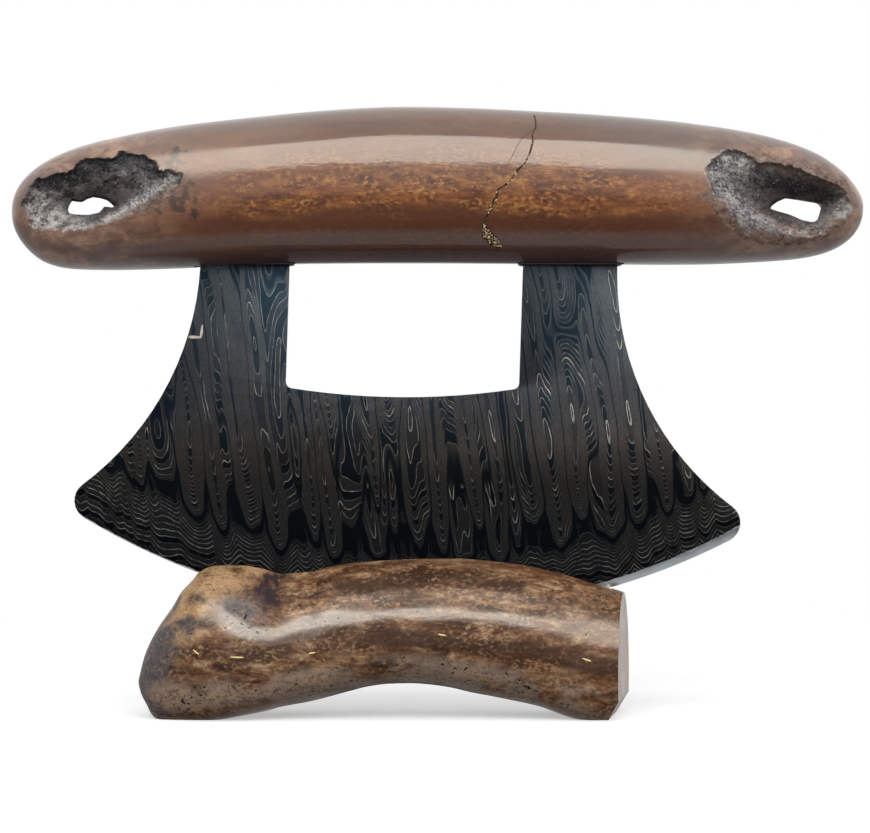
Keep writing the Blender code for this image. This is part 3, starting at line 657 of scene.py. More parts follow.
def handle_rings():
    """The handle's loft, with the points that lie in a hollow moved inwards along y."""
    x = handle_places()
    top, bottom, depth = handle_form(x)
    power = np.full(len(x), HANDLE_POWER)
    rings = section_rings(x, top, bottom, depth, power, power, 0.5, handle_angles())
    rings = ground_waves(rings, x, top, bottom, *HANDLE_WAVES)
    points = rings.reshape(-1, 3).copy()
    for _, side, _, chosen, (depth, _, _) in hollow_areas(points, 2, 0):
        skin = np.abs(points[chosen, 1])
        points[chosen, 1] = side * np.maximum(skin - depth, np.minimum(skin, skin * THROAT_SHARE))
    return points.reshape(rings.shape)


rings = handle_rings()
print("handle rings", rings.shape)

# %% [markdown]
# ## Holes, mortises and the crack
# Three kinds of cut go into the loft. The lashing holes lean a little outwards, as the light comes
# through them. The mortises hold the blade's tangs and their adhesive. The crack is a natural one:
# it wanders down the front and forks, so its groove is a ribbon that follows the skin at a
# shallow depth. The faces of each cut keep the material of its tool.

# %% Paths of the crack
CRACK_PIXELS = [(534, 113), (534.6, 117), (535.6, 121), (536, 127), (532, 135.5), (533, 141),
                (531, 149), (528.4, 156), (525, 163), (518, 170), (513, 177), (509, 182.5),
                (503, 186.5), (498, 189), (496.5, 198), (491, 205.5), (489.5, 211.5),
                (485.5, 219.5), (484, 226), (486, 233), (491, 239), (499, 244.5), (502, 246)]
CRACK_WIDTHS = [1.0, 1.5, 1.7, 1.5, 1.1, 1.6, 2.0, 1.4, 1.2, 2.2, 1.6, 1.8, 1.4, 1.6, 3.2, 2.6,
                2.2, 2.4, 3.6, 8.5, 10.5, 7, 2.5]
BRANCH_PIXELS = [[(534, 129), (527, 134.5), (522.7, 138), (517, 146), (511, 158.5), (506, 167.7),
                  (505.4, 174)],
                 [(484, 175.5), (486.5, 177), (490.5, 180), (495, 185)],
                 [(491.5, 209), (492.4, 213), (490.5, 219.4), (492.5, 226)],
                 [(494, 248.5), (493.6, 252), (495, 256)],
                 [(536, 127), (539.5, 131)]]
BRANCH_WIDTH = 0.55
CRACK_DEPTH = 0.7
BRANCH_DEPTH = 0.2
CRACK_JITTER = 0.45
CRACK_SEED = 11


def finer(values, steps):
    """The same line with more points, by straight steps."""
    values = np.asarray(values, float)
    rows = np.arange(len(values))
    fine = np.linspace(0, len(values) - 1, (len(values) - 1) * steps + 1)
    if values.ndim == 1:
        return np.interp(fine, rows, values)
    return np.stack([np.interp(fine, rows, column) for column in values.T], axis=1)


def ribbon_sides(pixels, widths, seed):
    """Left and right edges, in mm, of a ragged ribbon along a line of pixels."""
    line = finer(outline_at(pixels, handle_skin), 4)
    half = finer(widths, 4) * PIXEL_MM / 2
    ahead = np.gradient(line, axis=0)
    across = np.stack([-ahead[:, 1], ahead[:, 0]], axis=1)
    across /= np.linalg.norm(across, axis=1)[:, None]
    spots = np.column_stack([line, np.zeros(len(line))])
    left, right = (half * (1 + CRACK_JITTER * grain(spots, 0.7, seed + i)) for i in (0, 1))
    return line - across * left[:, None], line + across * right[:, None]


def groove(name, pixels, widths, depth, seed, material):
    """A closed ribbon from outside the skin down to a depth under it."""
    rings = []
    for a, b in zip(*ribbon_sides(pixels, widths, seed)):
        front = [(p[0], -HANDLE_DEPTH / 2 - 1, p[1]) for p in (a, b)]
        back = [(p[0], depth - float(handle_skin(*p)), p[1]) for p in (b, a)]
        rings.append(front + back)
    return loft(name, np.array(rings), materials=[material])


print("crack runs over", len(CRACK_PIXELS), "points, with", len(BRANCH_PIXELS), "branches")

# %% [markdown]
# ## Polished fossil bone
# Fossil bone is stained by the minerals of the ground it lay in. Ground and polished, it shows
# clouds of brown, short fibres along its length, amber flecks where the sponge comes to the
# surface, and a clear gloss over all; a grey painted reflection lies over its top and a purple-grey
# one over its underside. In the hollows the sponge is bare: matt and pale on its walls, with painted
# shade dark in its cells and deeper down, and a painted shadow under the upper rims. Both looks
# share one material, mixed by attributes of the mesh.

# %% Body of the bone
BONE_IOR = 1.54
POLISH_IOR = 1.52
BODY_BUMP = 0.00012             # metres
POLISH_BUMP = 0.00004


def clouds(tree, size, stops):
    """Soft clouds of a few tones, with features of a size in mm."""
    return tones(tree, noise_mm(tree, size, 6.0, 0.65, 0.5), stops)


def bone_body(tree, colour, dark, fleck, where):
    """Marks of ground bone over its clouds of colour: dark fibres, and amber grains where it is open."""
    fibre = noise_mm(tree, (5.0, 1.0, 0.8), 4.0, warp=0.8)
    streak = calc(tree, "MULTIPLY", remap(tree, fibre, 0.48, 0.75, 0, 0.5), where)
    colour = mix(tree, streak, colour, dark)
    grains = noise_mm(tree, (1.15, 0.9, 0.75), 3.0, 0.6)
    patch = remap(tree, noise_mm(tree, (9, 4, 3.2), 3.0, shift=(5, 1, 2)), 0.42, 0.56, 0.25)
    where = calc(tree, "MULTIPLY", where, patch)
    for low, high, most, code in ((0.51, 0.66, 0.8, fleck), (0.47, 0.33, 0.7, dark)):
        share = calc(tree, "MULTIPLY", remap(tree, grains, low, high, 0, most), where)
        colour = mix(tree, share, colour, code)
    return colour, calc(tree, "ADD", fibre, grains)


# %% Material of the handle
def sponge_colour(tree):
    """Sponge: pale walls, with painted shade dark in the cells and browner the deeper it lies, and a
    painted shadow under the upper rim. Also how deep a cell is.
    """
    pit, depth, lace, under_rim_shadow = (attribute(tree, name) for name in ("pit", "depth", "lace", "under_rim_shadow"))
    # Darker tones in the middles of the cells are painted shade, over specks of random tone
    cell = calc(tree, "MULTIPLY_ADD", pit, 0.35, noise_mm(tree, (0.7, 0.7, 0.55), 5.0, 0.75))
    dim = tones(tree, cell, [(0.42, "bcb6b1"), (0.52, "9b9795"), (0.60, "7e7b7e"), (0.76, "54535a")])
    pale = tones(tree, cell, [(0.42, "d8d2ca"), (0.54, "bfbab4"), (0.66, "a09d9b"), (0.86, "757579")])
    # Painted shade: darker the deeper the sponge lies, less so on its pale lines
    depth_shade = calc(tree, "MULTIPLY", remap(tree, depth, 2.2, 5.0, 0, 0.85), remap(tree, lace, 0, 1, 1.0, 0.2))
    sponge = mix(tree, depth_shade, mix(tree, lace, dim, pale), "3d3534")
    # A blue-black painted shadow under the upper rim
    return mix(tree, under_rim_shadow, sponge, "1b1e29"), cell


def make_handle_bone():
    material, tree = new_material("polished_brown_fossil_bone")
    colour = clouds(tree, (26, 9, 8), [(0.28, "563524"), (0.42, "6b422c"), (0.52, "7a4d31"),
                                       (0.62, "875a3a"), (0.74, "966847")])
    mottle = clouds(tree, (6.5, 3.2, 2.6), [(0.32, "3f271e"), (0.42, "6a3d2b"), (0.52, "84502f"),
                                            (0.62, "a36a38"), (0.70, "c28a4c")])
    # Under the middle the bone is open and amber, and below that dense and red-brown. Higher up a grey
    # painted reflection of the ceiling lies over it
    wander = noise_mm(tree, (20, 9, 7), 5.0, 0.6)
    rise = calc(tree, "MULTIPLY_ADD", wander, 0.22, attribute(tree, "rise"))
    dense = remap(tree, rise, 0.45, 0.39, 0, 0.85)
    scuff = attribute(tree, "scuff")
    granular = chain(tree, "MULTIPLY", remap(tree, rise, 0.39, 0.45, 0.15),
                     remap(tree, rise, 0.62, 0.85, 1.0, 0.08), remap(tree, scuff, 0, 1, 1.0, 0.3))
    colour = mix(tree, calc(tree, "MULTIPLY", granular, 0.75), colour, mottle)
    colour = mix(tree, dense, colour, "5a3525")
    # Painted reflections: grey of the ceiling towards the top, purple-grey of the floor at the underside
    for low, high, most, code in ((0.58, 1.15, 0.95, "6c5f59"), (0.34, 0.14, 0.5, "52464a")):
        colour = mix(tree, remap(tree, rise, low, high, 0, most), colour, code)
    # Towards the ends the bone is paler, in patches
    worn = clouds(tree, (5.5, 4.0, 3.4), [(0.35, "57423a"), (0.46, "7d5f50"), (0.56, "9f7b66"),
                                          (0.68, "b99478")])
    colour = mix(tree, attribute(tree, "end"), colour, worn)
    colour, height = bone_body(tree, colour, "3d2418", "c08a50", granular)
    sponge, cell = sponge_colour(tree)
    hollow = attribute(tree, "hollow")
    colour = mix(tree, hollow, colour, sponge)
    # Beside the hollows the bone was ground off and left matt and brown
    ground_off = clouds(tree, (1.3, 1.1, 0.9), [(0.35, "40322d"), (0.46, "66534a"), (0.57, "836d60"),
                                                (0.70, "a08b7b")])
    slope = attribute(tree, "slope")
    colour = mix(tree, slope, colour, ground_off)
    # Dark stain spots, and along the hollows' upper rims a painted shadow
    colour = mix(tree, attribute(tree, "stain_and_rim_shadow"), colour, "19171a")
    gloss = remap(tree, calc(tree, "MAXIMUM", hollow, slope), 0, 1, 1.0, 0.0)
    height = mix(tree, hollow, height, cell, "FLOAT")
    body = bump(tree, height, BODY_BUMP, remap(tree, hollow, 0, 1, 0.4, 0.85))
    skin = bump(tree, height, POLISH_BUMP, remap(tree, granular, 0, 1, 0.15, 0.8))
    coat_of(tree, {"Base Color": colour, "Roughness": remap(tree, hollow, 0, 1, 0.5, 0.85),
                   "IOR": BONE_IOR, "Specular IOR Level": 0.15, "Normal": body, "Coat Weight": gloss,
                   "Coat Roughness": remap(tree, scuff, 0, 1, 0.07, 0.22), "Coat IOR": POLISH_IOR,
                   "Coat Normal": skin})
    return material


def make_crack_shadow():
    """The walls of the crack: unpolished bone, painted dark brown as the shade inside the crack."""
    material, tree = new_material("crack_wall_painted_shade")
    colour = tones(tree, noise_mm(tree, (0.5, 0.5, 0.5)), [(0.35, "38241a"), (0.7, "80593c")])
    coat_of(tree, {"Base Color": colour, "Roughness": 0.9})
    return material


handle_bone = make_handle_bone()
crack_shadow = make_crack_shadow()
print("materials", handle_bone.name, crack_shadow.name)

# %% Cut the handle
MORTISE_GAP = 0.3
MORTISE_OUT = 3.0               # how far a mortise's tool stands out of the underside


def mortise_tool(node):
    """A box round an adhesive bed with a small gap, carried out through the underside."""
    low, high = (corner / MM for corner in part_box(node))
    gap = MORTISE_GAP
    outline = [(low.x - gap, low.z - MORTISE_OUT), (high.x + gap, low.z - MORTISE_OUT),
               (high.x + gap, high.z + gap), (low.x - gap, high.z + gap)]
    return prism(node + "_room", outline, low.y - gap, high.y + gap, crack_shadow)


def make_handle():
    half = HANDLE_LENGTH / 2
    tips = [(side * half, 0.0, UNDERSIDE + HANDLE_HEIGHT * share)
            for side, share in ((-1, LEFT_TIP_SHARE), (1, RIGHT_TIP_SHARE))]
    handle = loft("bone_handle", rings, tips, [handle_bone])
    tools = [mortise_tool("left_tang_epoxy"), mortise_tool("right_tang_epoxy")]
    for name, _, hole, _ in hollows:
        lean = hole[:, 0].mean() / -CAMERA_MM[1]
        tools.append(prism(name + "_hole", hole, -half, half, handle_bone, lean))
    tools.append(groove("crack", CRACK_PIXELS, CRACK_WIDTHS, CRACK_DEPTH, CRACK_SEED, crack_shadow))
    for i, pixels in enumerate(BRANCH_PIXELS):
        widths = [BRANCH_WIDTH] * len(pixels)
        tools.append(groove(f"branch_{i}", pixels, widths, BRANCH_DEPTH, 20 + 2 * i, crack_shadow))
    return settle(handle, tools)


# %% Marks on the handle
# For the left and the right hollow: pale lines, a line of painted shadow under the upper rim with its reach
# and its strength
PALE_PIXELS = [[[(40, 196), (36, 210), (45, 223), (62, 226), (78, 222)], [(45, 209), (60, 217)],
                [(48, 186), (70, 176)], [(76, 167), (100, 162), (126, 163), (151, 164)]],
               [[(716, 172), (728, 163), (744, 166)], [(800, 231), (822, 228), (838, 214), (842, 200)]]]
UNDER_RIM_SHADOW_PIXELS = [[(44, 181), (62, 174), (80, 168), (100, 161), (122, 160), (146, 163), (156, 172)],
               [(762, 172), (780, 180), (798, 184), (822, 184), (846, 192)]]
UNDER_RIM_SHADOW_REACH = ((4.5, 0.78), (3.2, 0.6))
STAIN_SPOT_PIXELS = [[(174, 155), (175, 165)], [(181, 178), (184, 188), (181, 199)],
                     [(171, 208), (188, 209)]]
LEFT_SLOPE_PIXELS = [(172, 180), (181, 190), (176, 199), (160, 209), (138, 219), (112, 228),
                     (102, 226), (108, 221), (134, 207), (151, 197)]
RIGHT_SLOPE_PIXELS = [(700, 194), (709, 203), (718, 216), (729, 229), (743, 239), (760, 244),
                      (790, 246), (820, 241), (842, 228), (853, 208), (846, 200), (836, 220),
                      (812, 232), (784, 229), (755, 214), (727, 199), (712, 186)]
SLOPE_OUTER_POINTS = 9          # of the right slope's outline lie along its outer side
RIGHT_BROW_PIXELS = [(738, 150), (762, 150), (790, 157), (820, 168), (845, 181), (852, 195),
                     (832, 187), (806, 179), (780, 171), (756, 165)]


def nearest_line(x, z, lines):
    """Distance to the nearest of some lines of pixels on the handle."""
    return np.min([line_distance(x, z, outline_at(line, handle_skin)) for line in lines], axis=0)


def mark_hollows(points, marks):
    """How hollow, deep, spongy and pale each point is, its painted shadows under and along the upper rim,
    and its stains.
    """
    def raise_to(name, values):
        marks[name][chosen] = np.maximum(marks[name][chosen], values)

    for seed, _, lip, chosen, (_, inside, pits) in hollow_areas(points, 6, -1):
        near = points[chosen]
        x, y, z = near.T
        # The upper rims are sharp, and the right hollow fades out downwards over a matt slope
        uneven = grain(near, 3.0, 81 + seed, 4)
        soft = fade(124, 117, z) * (1.0 if seed == 1 else 0.25)
        soft = np.maximum(soft, 0.6 * fade(70, 78, x))
        mask = fade(-0.15, 0.2, inside) * (1 - soft)
        mask += fade(-2.2, 2.6, inside + 2.0 * uneven) * soft
        if lip is not None:
            order, start = np.argsort(lip[:, 0]), lip[:, 0].min()
            under = np.interp(x, lip[order, 0], lip[order, 1]) - 0.8 - z
            mask *= 1 - 0.75 * fade(0, 1.2, under) * fade(start - 2, start + 3, x)
        raise_to("hollow", mask)
        raise_to("depth", np.maximum(handle_skin(x, z) - np.abs(y), 0))
        marks["pit"][chosen] = pits
        ragged = 0.5 + 0.5 * grain(near, 2.5, 71 + seed, 3)
        # A painted shadow along the upper rim, strongest in the left hollow
        ring = np.exp(-np.abs(inside - 0.4) / 0.55) * fade(0.1, 0.6, ragged)
        raise_to("stain_and_rim_shadow", ring * fade(112, 119, z) * (0.8 if seed == 0 else 0.35))
        off = nearest_line(x, z, PALE_PIXELS[seed])
        pale = (1.0, 0.6)[seed] * np.exp(-(off / 2.4) ** 2) * fade(0.15, 0.6, ragged)
        if seed == 0:
            pale = np.maximum(pale, 0.7 * np.exp(-(line_distance(x, z, left_ridge) / 1.2) ** 2))
        # Painted shadow under the upper rim, fading away from its line
        reach, most = UNDER_RIM_SHADOW_REACH[seed]
        off = nearest_line(x, z, [UNDER_RIM_SHADOW_PIXELS[seed]])
        under_rim_shadow = most * fade(reach, 0.5, off + 2.5 * (ragged - 0.5))
        raise_to("under_rim_shadow", under_rim_shadow)
        raise_to("lace", pale * (1 - under_rim_shadow))


def mark_handle(handle):
    """Write the attributes that the handle's material reads."""
    points = mesh_points(handle)
    x, y, z = points.T
    front = y < 0
    marks = {name: np.zeros(len(points)) for name in ("hollow", "depth", "pit", "lace", "stain_and_rim_shadow", "under_rim_shadow")}
    mark_hollows(points, marks)
    off = nearest_line(x, z, STAIN_SPOT_PIXELS) + 3.2 * grain(points, 1.8, 91, 4)
    marks["stain_and_rim_shadow"] = np.maximum(marks["stain_and_rim_shadow"], 0.72 * fade(1.7, 0.3, off) * front)
    shift = 0.25 * grain(points, 1.6, 95, 3)
    slopes = [outline_at(pixels, handle_skin)
              for pixels in (LEFT_SLOPE_PIXELS, RIGHT_SLOPE_PIXELS, RIGHT_BROW_PIXELS)]
    left, right, brow = (inside_distance(x, z, outline) + shift for outline in slopes)
    soft = np.maximum(0.7 * fade(-0.7, 0.9, left), 0.85 * fade(-0.6, 0.9, brow + 4 * shift))
    # The right slope keeps its sponge, but for a smooth band along its outer side
    outer = line_distance(x, z, slopes[1][:SLOPE_OUTER_POINTS])
    sponge = fade(1.0, 3.2, outer + 6 * shift) * (right > 0) * front
    marks["hollow"] = np.maximum(marks["hollow"], 0.9 * sponge)
    marks["slope"] = np.maximum(soft, 0.9 * fade(-0.12, 0.12, right) * (1 - sponge)) * front
    patches = 0.5 + 0.5 * grain(points, (9, 6, 6), 93, 4)
    marks["end"] = fade(46, 82, np.abs(x)) * fade(0.15, 0.65, patches) * 0.85
    marks["scuff"] = np.maximum(fade(34, 64, np.abs(x)), fade(-38, -52, x))
    # Height on the section, which counts higher above the middle towards the right end, so that the painted
    # grey reflection on top reaches lower there
    top, bottom, _ = handle_form(x)
    rise = (z - bottom) / np.maximum(top - bottom, 1e-6)
    marks["rise"] = rise + fade(20, 64, x) * 0.32 * fade(0.5, 0.75, rise)
    for name, values in marks.items():
        write_attribute(handle, name, values)


handle = make_handle()
mark_handle(handle)
smooth_shade(handle, 40)
print("handle has", len(handle.data.polygons), "faces")

# %% [markdown]
# ## Geometry Nodes helpers
# What repeats by the hundred is grown by Geometry Nodes: a tree with named inputs runs on a small
# seed mesh. Its result is kept as a plain mesh, since instances and modifiers do not export.

# %% Trees and how to run them
def new_tree(name, inputs):
    """A tree with a geometry socket each way and named inputs, and the outputs of its input node."""
    tree = bpy.data.node_groups.new(name, "GeometryNodeTree")
    for way in ("INPUT", "OUTPUT"):
        tree.interface.new_socket("Geometry", in_out=way, socket_type="NodeSocketGeometry")
    for label, kind in inputs.items():
        tree.interface.new_socket(label, in_out="INPUT", socket_type="NodeSocket" + kind)
    return tree, tree.nodes.new("NodeGroupInput").outputs


def close_tree(tree, geometry, material):
    """End a tree with real geometry in one material."""
    geometry = add(tree, "GeometryNodeRealizeInstances", {"Geometry": geometry})
    geometry = add(tree, "GeometryNodeSetMaterial", {"Geometry": geometry, "Material": material})
    add(tree, "NodeGroupOutput", {"Geometry": geometry})
    return tree


def scatter_tree(name, density, least, most, share, make_shape):
    """A tree that scatters copies of a shape over faces, at a density times an attribute."""
    tree, given = new_tree(name, {density: "Float", least: "Float", most: "Float", "Seed": "Int",
                                  "Material": "Material"})
    scatter = tree.nodes.new("GeometryNodeDistributePointsOnFaces")
    share = add(tree, "GeometryNodeInputNamedAttribute", {"Name": share})
    count = calc(tree, "MULTIPLY", given[density], share)
    for socket, source in (("Mesh", given["Geometry"]), ("Density", count), ("Seed", given["Seed"])):
        tree.links.new(source, scatter.inputs[socket])
    size = add(tree, "FunctionNodeRandomValue", {"Min": given[least], "Max": given[most], "Seed": 2})
    shape, turn, scale = make_shape(tree, scatter.outputs["Rotation"], size)
    copies = add(tree, "GeometryNodeInstanceOnPoints", {
        "Points": scatter.outputs["Points"], "Instance": shape, "Rotation": turn, "Scale": scale})
    tone = add(tree, "FunctionNodeRandomValue", {"Seed": 4})
    copies = add(tree, "GeometryNodeStoreNamedAttribute", {
        "Geometry": copies, "Name": "tone", "Value": tone}, domain="INSTANCE")
    return close_tree(tree, copies, given["Material"])


def grow(item, tree, values):
    """Run a tree on an object with its inputs set, and keep the result as a plain mesh."""
    step = item.modifiers.new(tree.name, "NODES")
    step.node_group = tree
    for socket in tree.interface.items_tree:
        if socket.in_out == "INPUT" and socket.name in values:
            step[socket.identifier] = values[socket.name]
    return settle(item)


print("node helpers ready")

# %% [markdown]
# ## The lace of spongy bone
# Spongy bone is a lace of small curved struts. The relief of the hollows gives their cells, and
# this step adds the struts that stand free of it. The seed is a copy of the hollows' faces. The
# tree scatters points on it and stands a short bent rod on each, which dips into the floor again.

# %% Struts
TURN = 6.28


def bent_rod(tree, upright, size):
    """A short bent rod, spun round the normal of the face that it stands on."""
    bend = add(tree, "GeometryNodeCurveQuadraticBezier", {
        "Resolution": 3, "Start": (-0.5, 0, -0.15), "Middle": (0, 0.25, 0.5), "End": (0.5, 0.1, -0.15)})
    round_rod = add(tree, "GeometryNodeCurvePrimitiveCircle", {"Resolution": 5, "Radius": 0.13})
    rod = add(tree, "GeometryNodeCurveToMesh", {"Curve": bend, "Profile Curve": round_rod})
    spin = add(tree, "FunctionNodeRandomValue", {"Min": 0.0, "Max": TURN, "Seed": 1})
    spin = add(tree, "FunctionNodeAxisAngleToRotation", {"Axis": (0, 0, 1), "Angle": spin})
    turn = add(tree, "FunctionNodeRotateRotation", {0: upright, 1: spin}, rotation_space="LOCAL")
    return rod, turn, size


def make_strut_bone():
    """Dry unpolished bone: matt, from nearly black to pale grey."""
    material, tree = new_material("dry_spongy_bone")
    tone = calc(tree, "MULTIPLY_ADD", attribute(tree, "lace"), 0.3, attribute(tree, "tone"))
    colour = tones(tree, tone, [(0.1, "2a282a"), (0.5, "4c4a4c"), (0.8, "6e6b6a"), (1.0, "9a9692")])
    coat_of(tree, {"Base Color": colour, "Roughness": 0.8, "IOR": BONE_IOR})
    return material


def hollow_floor(handle):
    """A copy of the handle's faces that lie in the hollows, with how open the bone is there."""
    shape = bmesh.new()
    shape.from_mesh(handle.data)
    hollow, depth, stain_and_rim_shadow = (shape.verts.layers.float[name] for name in ("hollow", "depth", "stain_and_rim_shadow"))
    outside = [face for face in shape.faces if min(vert[hollow] for vert in face.verts) < 0.9]
    bmesh.ops.delete(shape, geom=outside, context="FACES")
    share = shape.verts.layers.float.new("open")
    for vert in shape.verts:
        vert[share] = 1.0 - min(1.0, vert[stain_and_rim_shadow] + max(0.0, vert[depth] - 4.5) / 3.0)
    return write_shape("bone_lace", shape)


strut_tree = scatter_tree("bone_lace", "Struts per square metre", "Shortest", "Longest", "open", bent_rod)
bone_lace = grow(hollow_floor(handle), strut_tree, {
    "Struts per square metre": 2.2e6, "Shortest": 0.0003, "Longest": 0.0007, "Seed": 3,
    "Material": make_strut_bone()})
print("lace has", len(bone_lace.data.polygons), "faces")

# %% [markdown]
# ## Mineral grains in the crack
# The crack is packed with pale mineral: small crystals with dark gaps between them, thickest in
# the nest near the underside. A strip along the groove's floor is the seed. The tree scatters
# points on it and puts a small many-sided grain on each, with its own size, turn and tone.

# %% Grains
GRAIN_FLOOR = 0.27              # depth of the strip under the skin, in mm


def crystal(tree, _upright, size):
    """A small many-sided grain with its own squash, turned any way."""
    ball = add(tree, "GeometryNodeMeshIcoSphere", {"Radius": 1.0, "Subdivisions": 1})
    turn = add(tree, "FunctionNodeRandomValue", {"Max": (TURN,) * 3, "Seed": 1},
               data_type="FLOAT_VECTOR")
    squash = add(tree, "FunctionNodeRandomValue", {"Min": (0.6, 0.6, 0.6), "Max": (1.3, 1.0, 1.3),
                                                   "Seed": 3}, data_type="FLOAT_VECTOR")
    return ball, turn, vector(tree, "SCALE", squash, Scale=size)


def make_mineral():
    """Calcite-like grains: waxy and a little glossy, from dark brown through tan to cream."""
    material, tree = new_material("mineral_crack_filler")
    colour = tones(tree, attribute(tree, "tone"),
                   [(0.0, "4a3828"), (0.35, "8d6f4e"), (0.7, "b99c78"), (1.0, "e0d2bb")])
    coat_of(tree, {"Base Color": colour, "Roughness": 0.35, "IOR": 1.58})
    return material


def crack_floor():
    """A strip along the crack, just above the groove's floor, with how full it is at each point."""
    left, right = ribbon_sides(CRACK_PIXELS, CRACK_WIDTHS, CRACK_SEED)
    points = []
    for a, b in zip(left, right):
        for share in (0.12, 0.5, 0.88):
            x, z = a + (b - a) * share
            points.append((x, GRAIN_FLOOR - float(handle_skin(x, z)), z))
    corners = [3 * i + j for i in range(len(left) - 1) for j in (0, 1)]
    strip = add_mesh("crack_grains", points, [(a, a + 1, a + 4, a + 3) for a in corners])
    spots = np.array(points)
    full = fade(-0.25, 0.3, grain(spots, 2.2, 31))
    nest = fade(113.0, 110.5, spots[:, 2])
    write_attribute(strip, "fill", np.maximum(full, nest))
    return strip


grain_tree = scatter_tree("mineral_grains", "Grains per square metre", "Smallest", "Largest", "fill",
                          crystal)
crack_grains = grow(crack_floor(), grain_tree, {
    "Grains per square metre": 9.0e6, "Smallest": 0.00012, "Largest": 0.00036, "Seed": 5,
    "Material": make_mineral()})
print("grains have", len(crack_grains.data.polygons), "faces")

# %% [markdown]
# ## The blade of layered steel
# Two steels are forge-welded in many thin layers, twisted and pressed, and the ground blade is
# etched, which leaves one steel dark and the other pale. The pattern is not a picture on the
# surface: it is where the surface cuts the layers. So the material counts layers in space, with
# long upright swirls in the body. Where the flank is ground down to the edge, the depth below
# the flat face adds to the count, and the lines turn to run along the edge, as on real steel.

# %% Mesh of the blade
EDGE_RADIUS = 153.1
EDGE_CENTRE = (-2.4, 176.8)
CORNER_BREAK = 0.00014          # metres taken off each corner


def make_blade():
    """The CAD plate with its triangles joined and its corners broken, as a stone leaves them."""
    shape = bmesh.new()
    shape.from_mesh(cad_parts["blade"].data)
    bmesh.ops.remove_doubles(shape, verts=shape.verts, dist=1e-6)
    bmesh.ops.dissolve_limit(shape, angle_limit=math.radians(0.2), verts=shape.verts,
                             edges=shape.edges)
    blade = write_shape("layered_blade", shape)
    step = blade.modifiers.new("broken corners", "BEVEL")
    step.width = CORNER_BREAK
    step.segments = 2
    step.limit_method = "ANGLE"
    step.angle_limit = math.radians(40)
    step.harden_normals = True
    blade.data.shade_smooth()
    return settle(blade)


# %% Layers in space
FOLD_LEAN = math.radians(7.0)
FOLD_SIZE = (6.4, 40, 58)       # mm
# Two warps of the space, a long and a short one: size and reach in mm
WARPS = (((12, 12, 30), (2.8, 0, 6.0)), ((1.3, 1.3, 2.6), (0.26, 0, 0.4)))
LAYERS_PER_METRE = 900.0        # across the plate


def edge_radius(tree, place, unit):
    """Distance from the edge's centre, as seen from the side."""
    flat = vector(tree, "MULTIPLY", place, (1, 0, 1))
    return vector(tree, "DISTANCE", flat, (EDGE_CENTRE[0] * unit, 0.0, EDGE_CENTRE[1] * unit))


def layer_count_group():
    """A node group that counts steel layers at a point in object space."""
    group = bpy.data.node_groups.new("layer_count", "ShaderNodeTree")
    group.interface.new_socket("Vector", in_out="INPUT", socket_type="NodeSocketVector")
    for name in ("Layers", "Fold", "Above"):
        group.interface.new_socket(name, in_out="OUTPUT", socket_type="NodeSocketFloat")
    given = group.nodes.new("NodeGroupInput").outputs["Vector"]
    place = vector(group, "SCALE", given, Scale=1000.0)
    # How far above the edge the point lies
    above = calc(group, "SUBTRACT", EDGE_RADIUS, edge_radius(group, place, 1.0))
    for size, reach in WARPS:
        wander = add(group, "ShaderNodeMapping", {"Vector": place, "Scale": tuple(1 / s for s in size)})
        wander = add(group, "ShaderNodeTexNoise", {"Vector": wander, "Scale": 1.0}, output="Color")
        place = vector(group, "MULTIPLY_ADD", wander, reach, place)
    # Upright folds, which lean a little: rounded bumps with sharp creases between them
    place = add(group, "ShaderNodeVectorRotate", {"Vector": place, "Angle": FOLD_LEAN},
                rotation_type="Y_AXIS")
    fold = add(group, "ShaderNodeMapping", {"Vector": place, "Scale": tuple(1 / s for s in FOLD_SIZE)})
    fold = add(group, "ShaderNodeTexNoise", {"Vector": fold, "Scale": 1.0, "Detail": 1.0,
                                             "Roughness": 0.4})
    fold = calc(group, "ABSOLUTE", calc(group, "MULTIPLY_ADD", fold, 2.0, -1.0))
    height = remap(group, above, 5.0, 22.0, 6.0, 26.0, "SMOOTHSTEP")
    # Near the edge the grinding crosses the layers, so the count also rises with the height
    steep = remap(group, above, 0.0, 14.0, 0, 13.5)
    eased = remap(group, above, 14.0, 32.0, 0, 7.0, "SMOOTHSTEP")
    total = chain(group, "ADD", calc(group, "MULTIPLY", fold, height), steep, eased)
    total = calc(group, "MULTIPLY_ADD", part_of(group, given, "Y"), LAYERS_PER_METRE, total)
    add(group, "NodeGroupOutput", {"Layers": total, "Fold": fold, "Above": above})
    return group


# %% Etched layered steel
LINE_MM = 0.15
SAMPLE_STEP = 0.0001
BOLD_LAYER = 14.0        # a thick dark layer, which shows as a black line over the ground flank
BEVEL_WIDTHS = (0.5, 2.3)       # of the bare bevel at its left and right ends, in mm
# A pale hooked mark at the left leg's outer edge: centre and half sizes in mm, lean in degrees
HOOK_STROKES = [((-55.7, -2.0, 87.3), (1.7, 3.0, 0.40), 0.0),
                ((-54.3, -2.0, 88.5), (0.30, 3.0, 1.7), -8.0)]


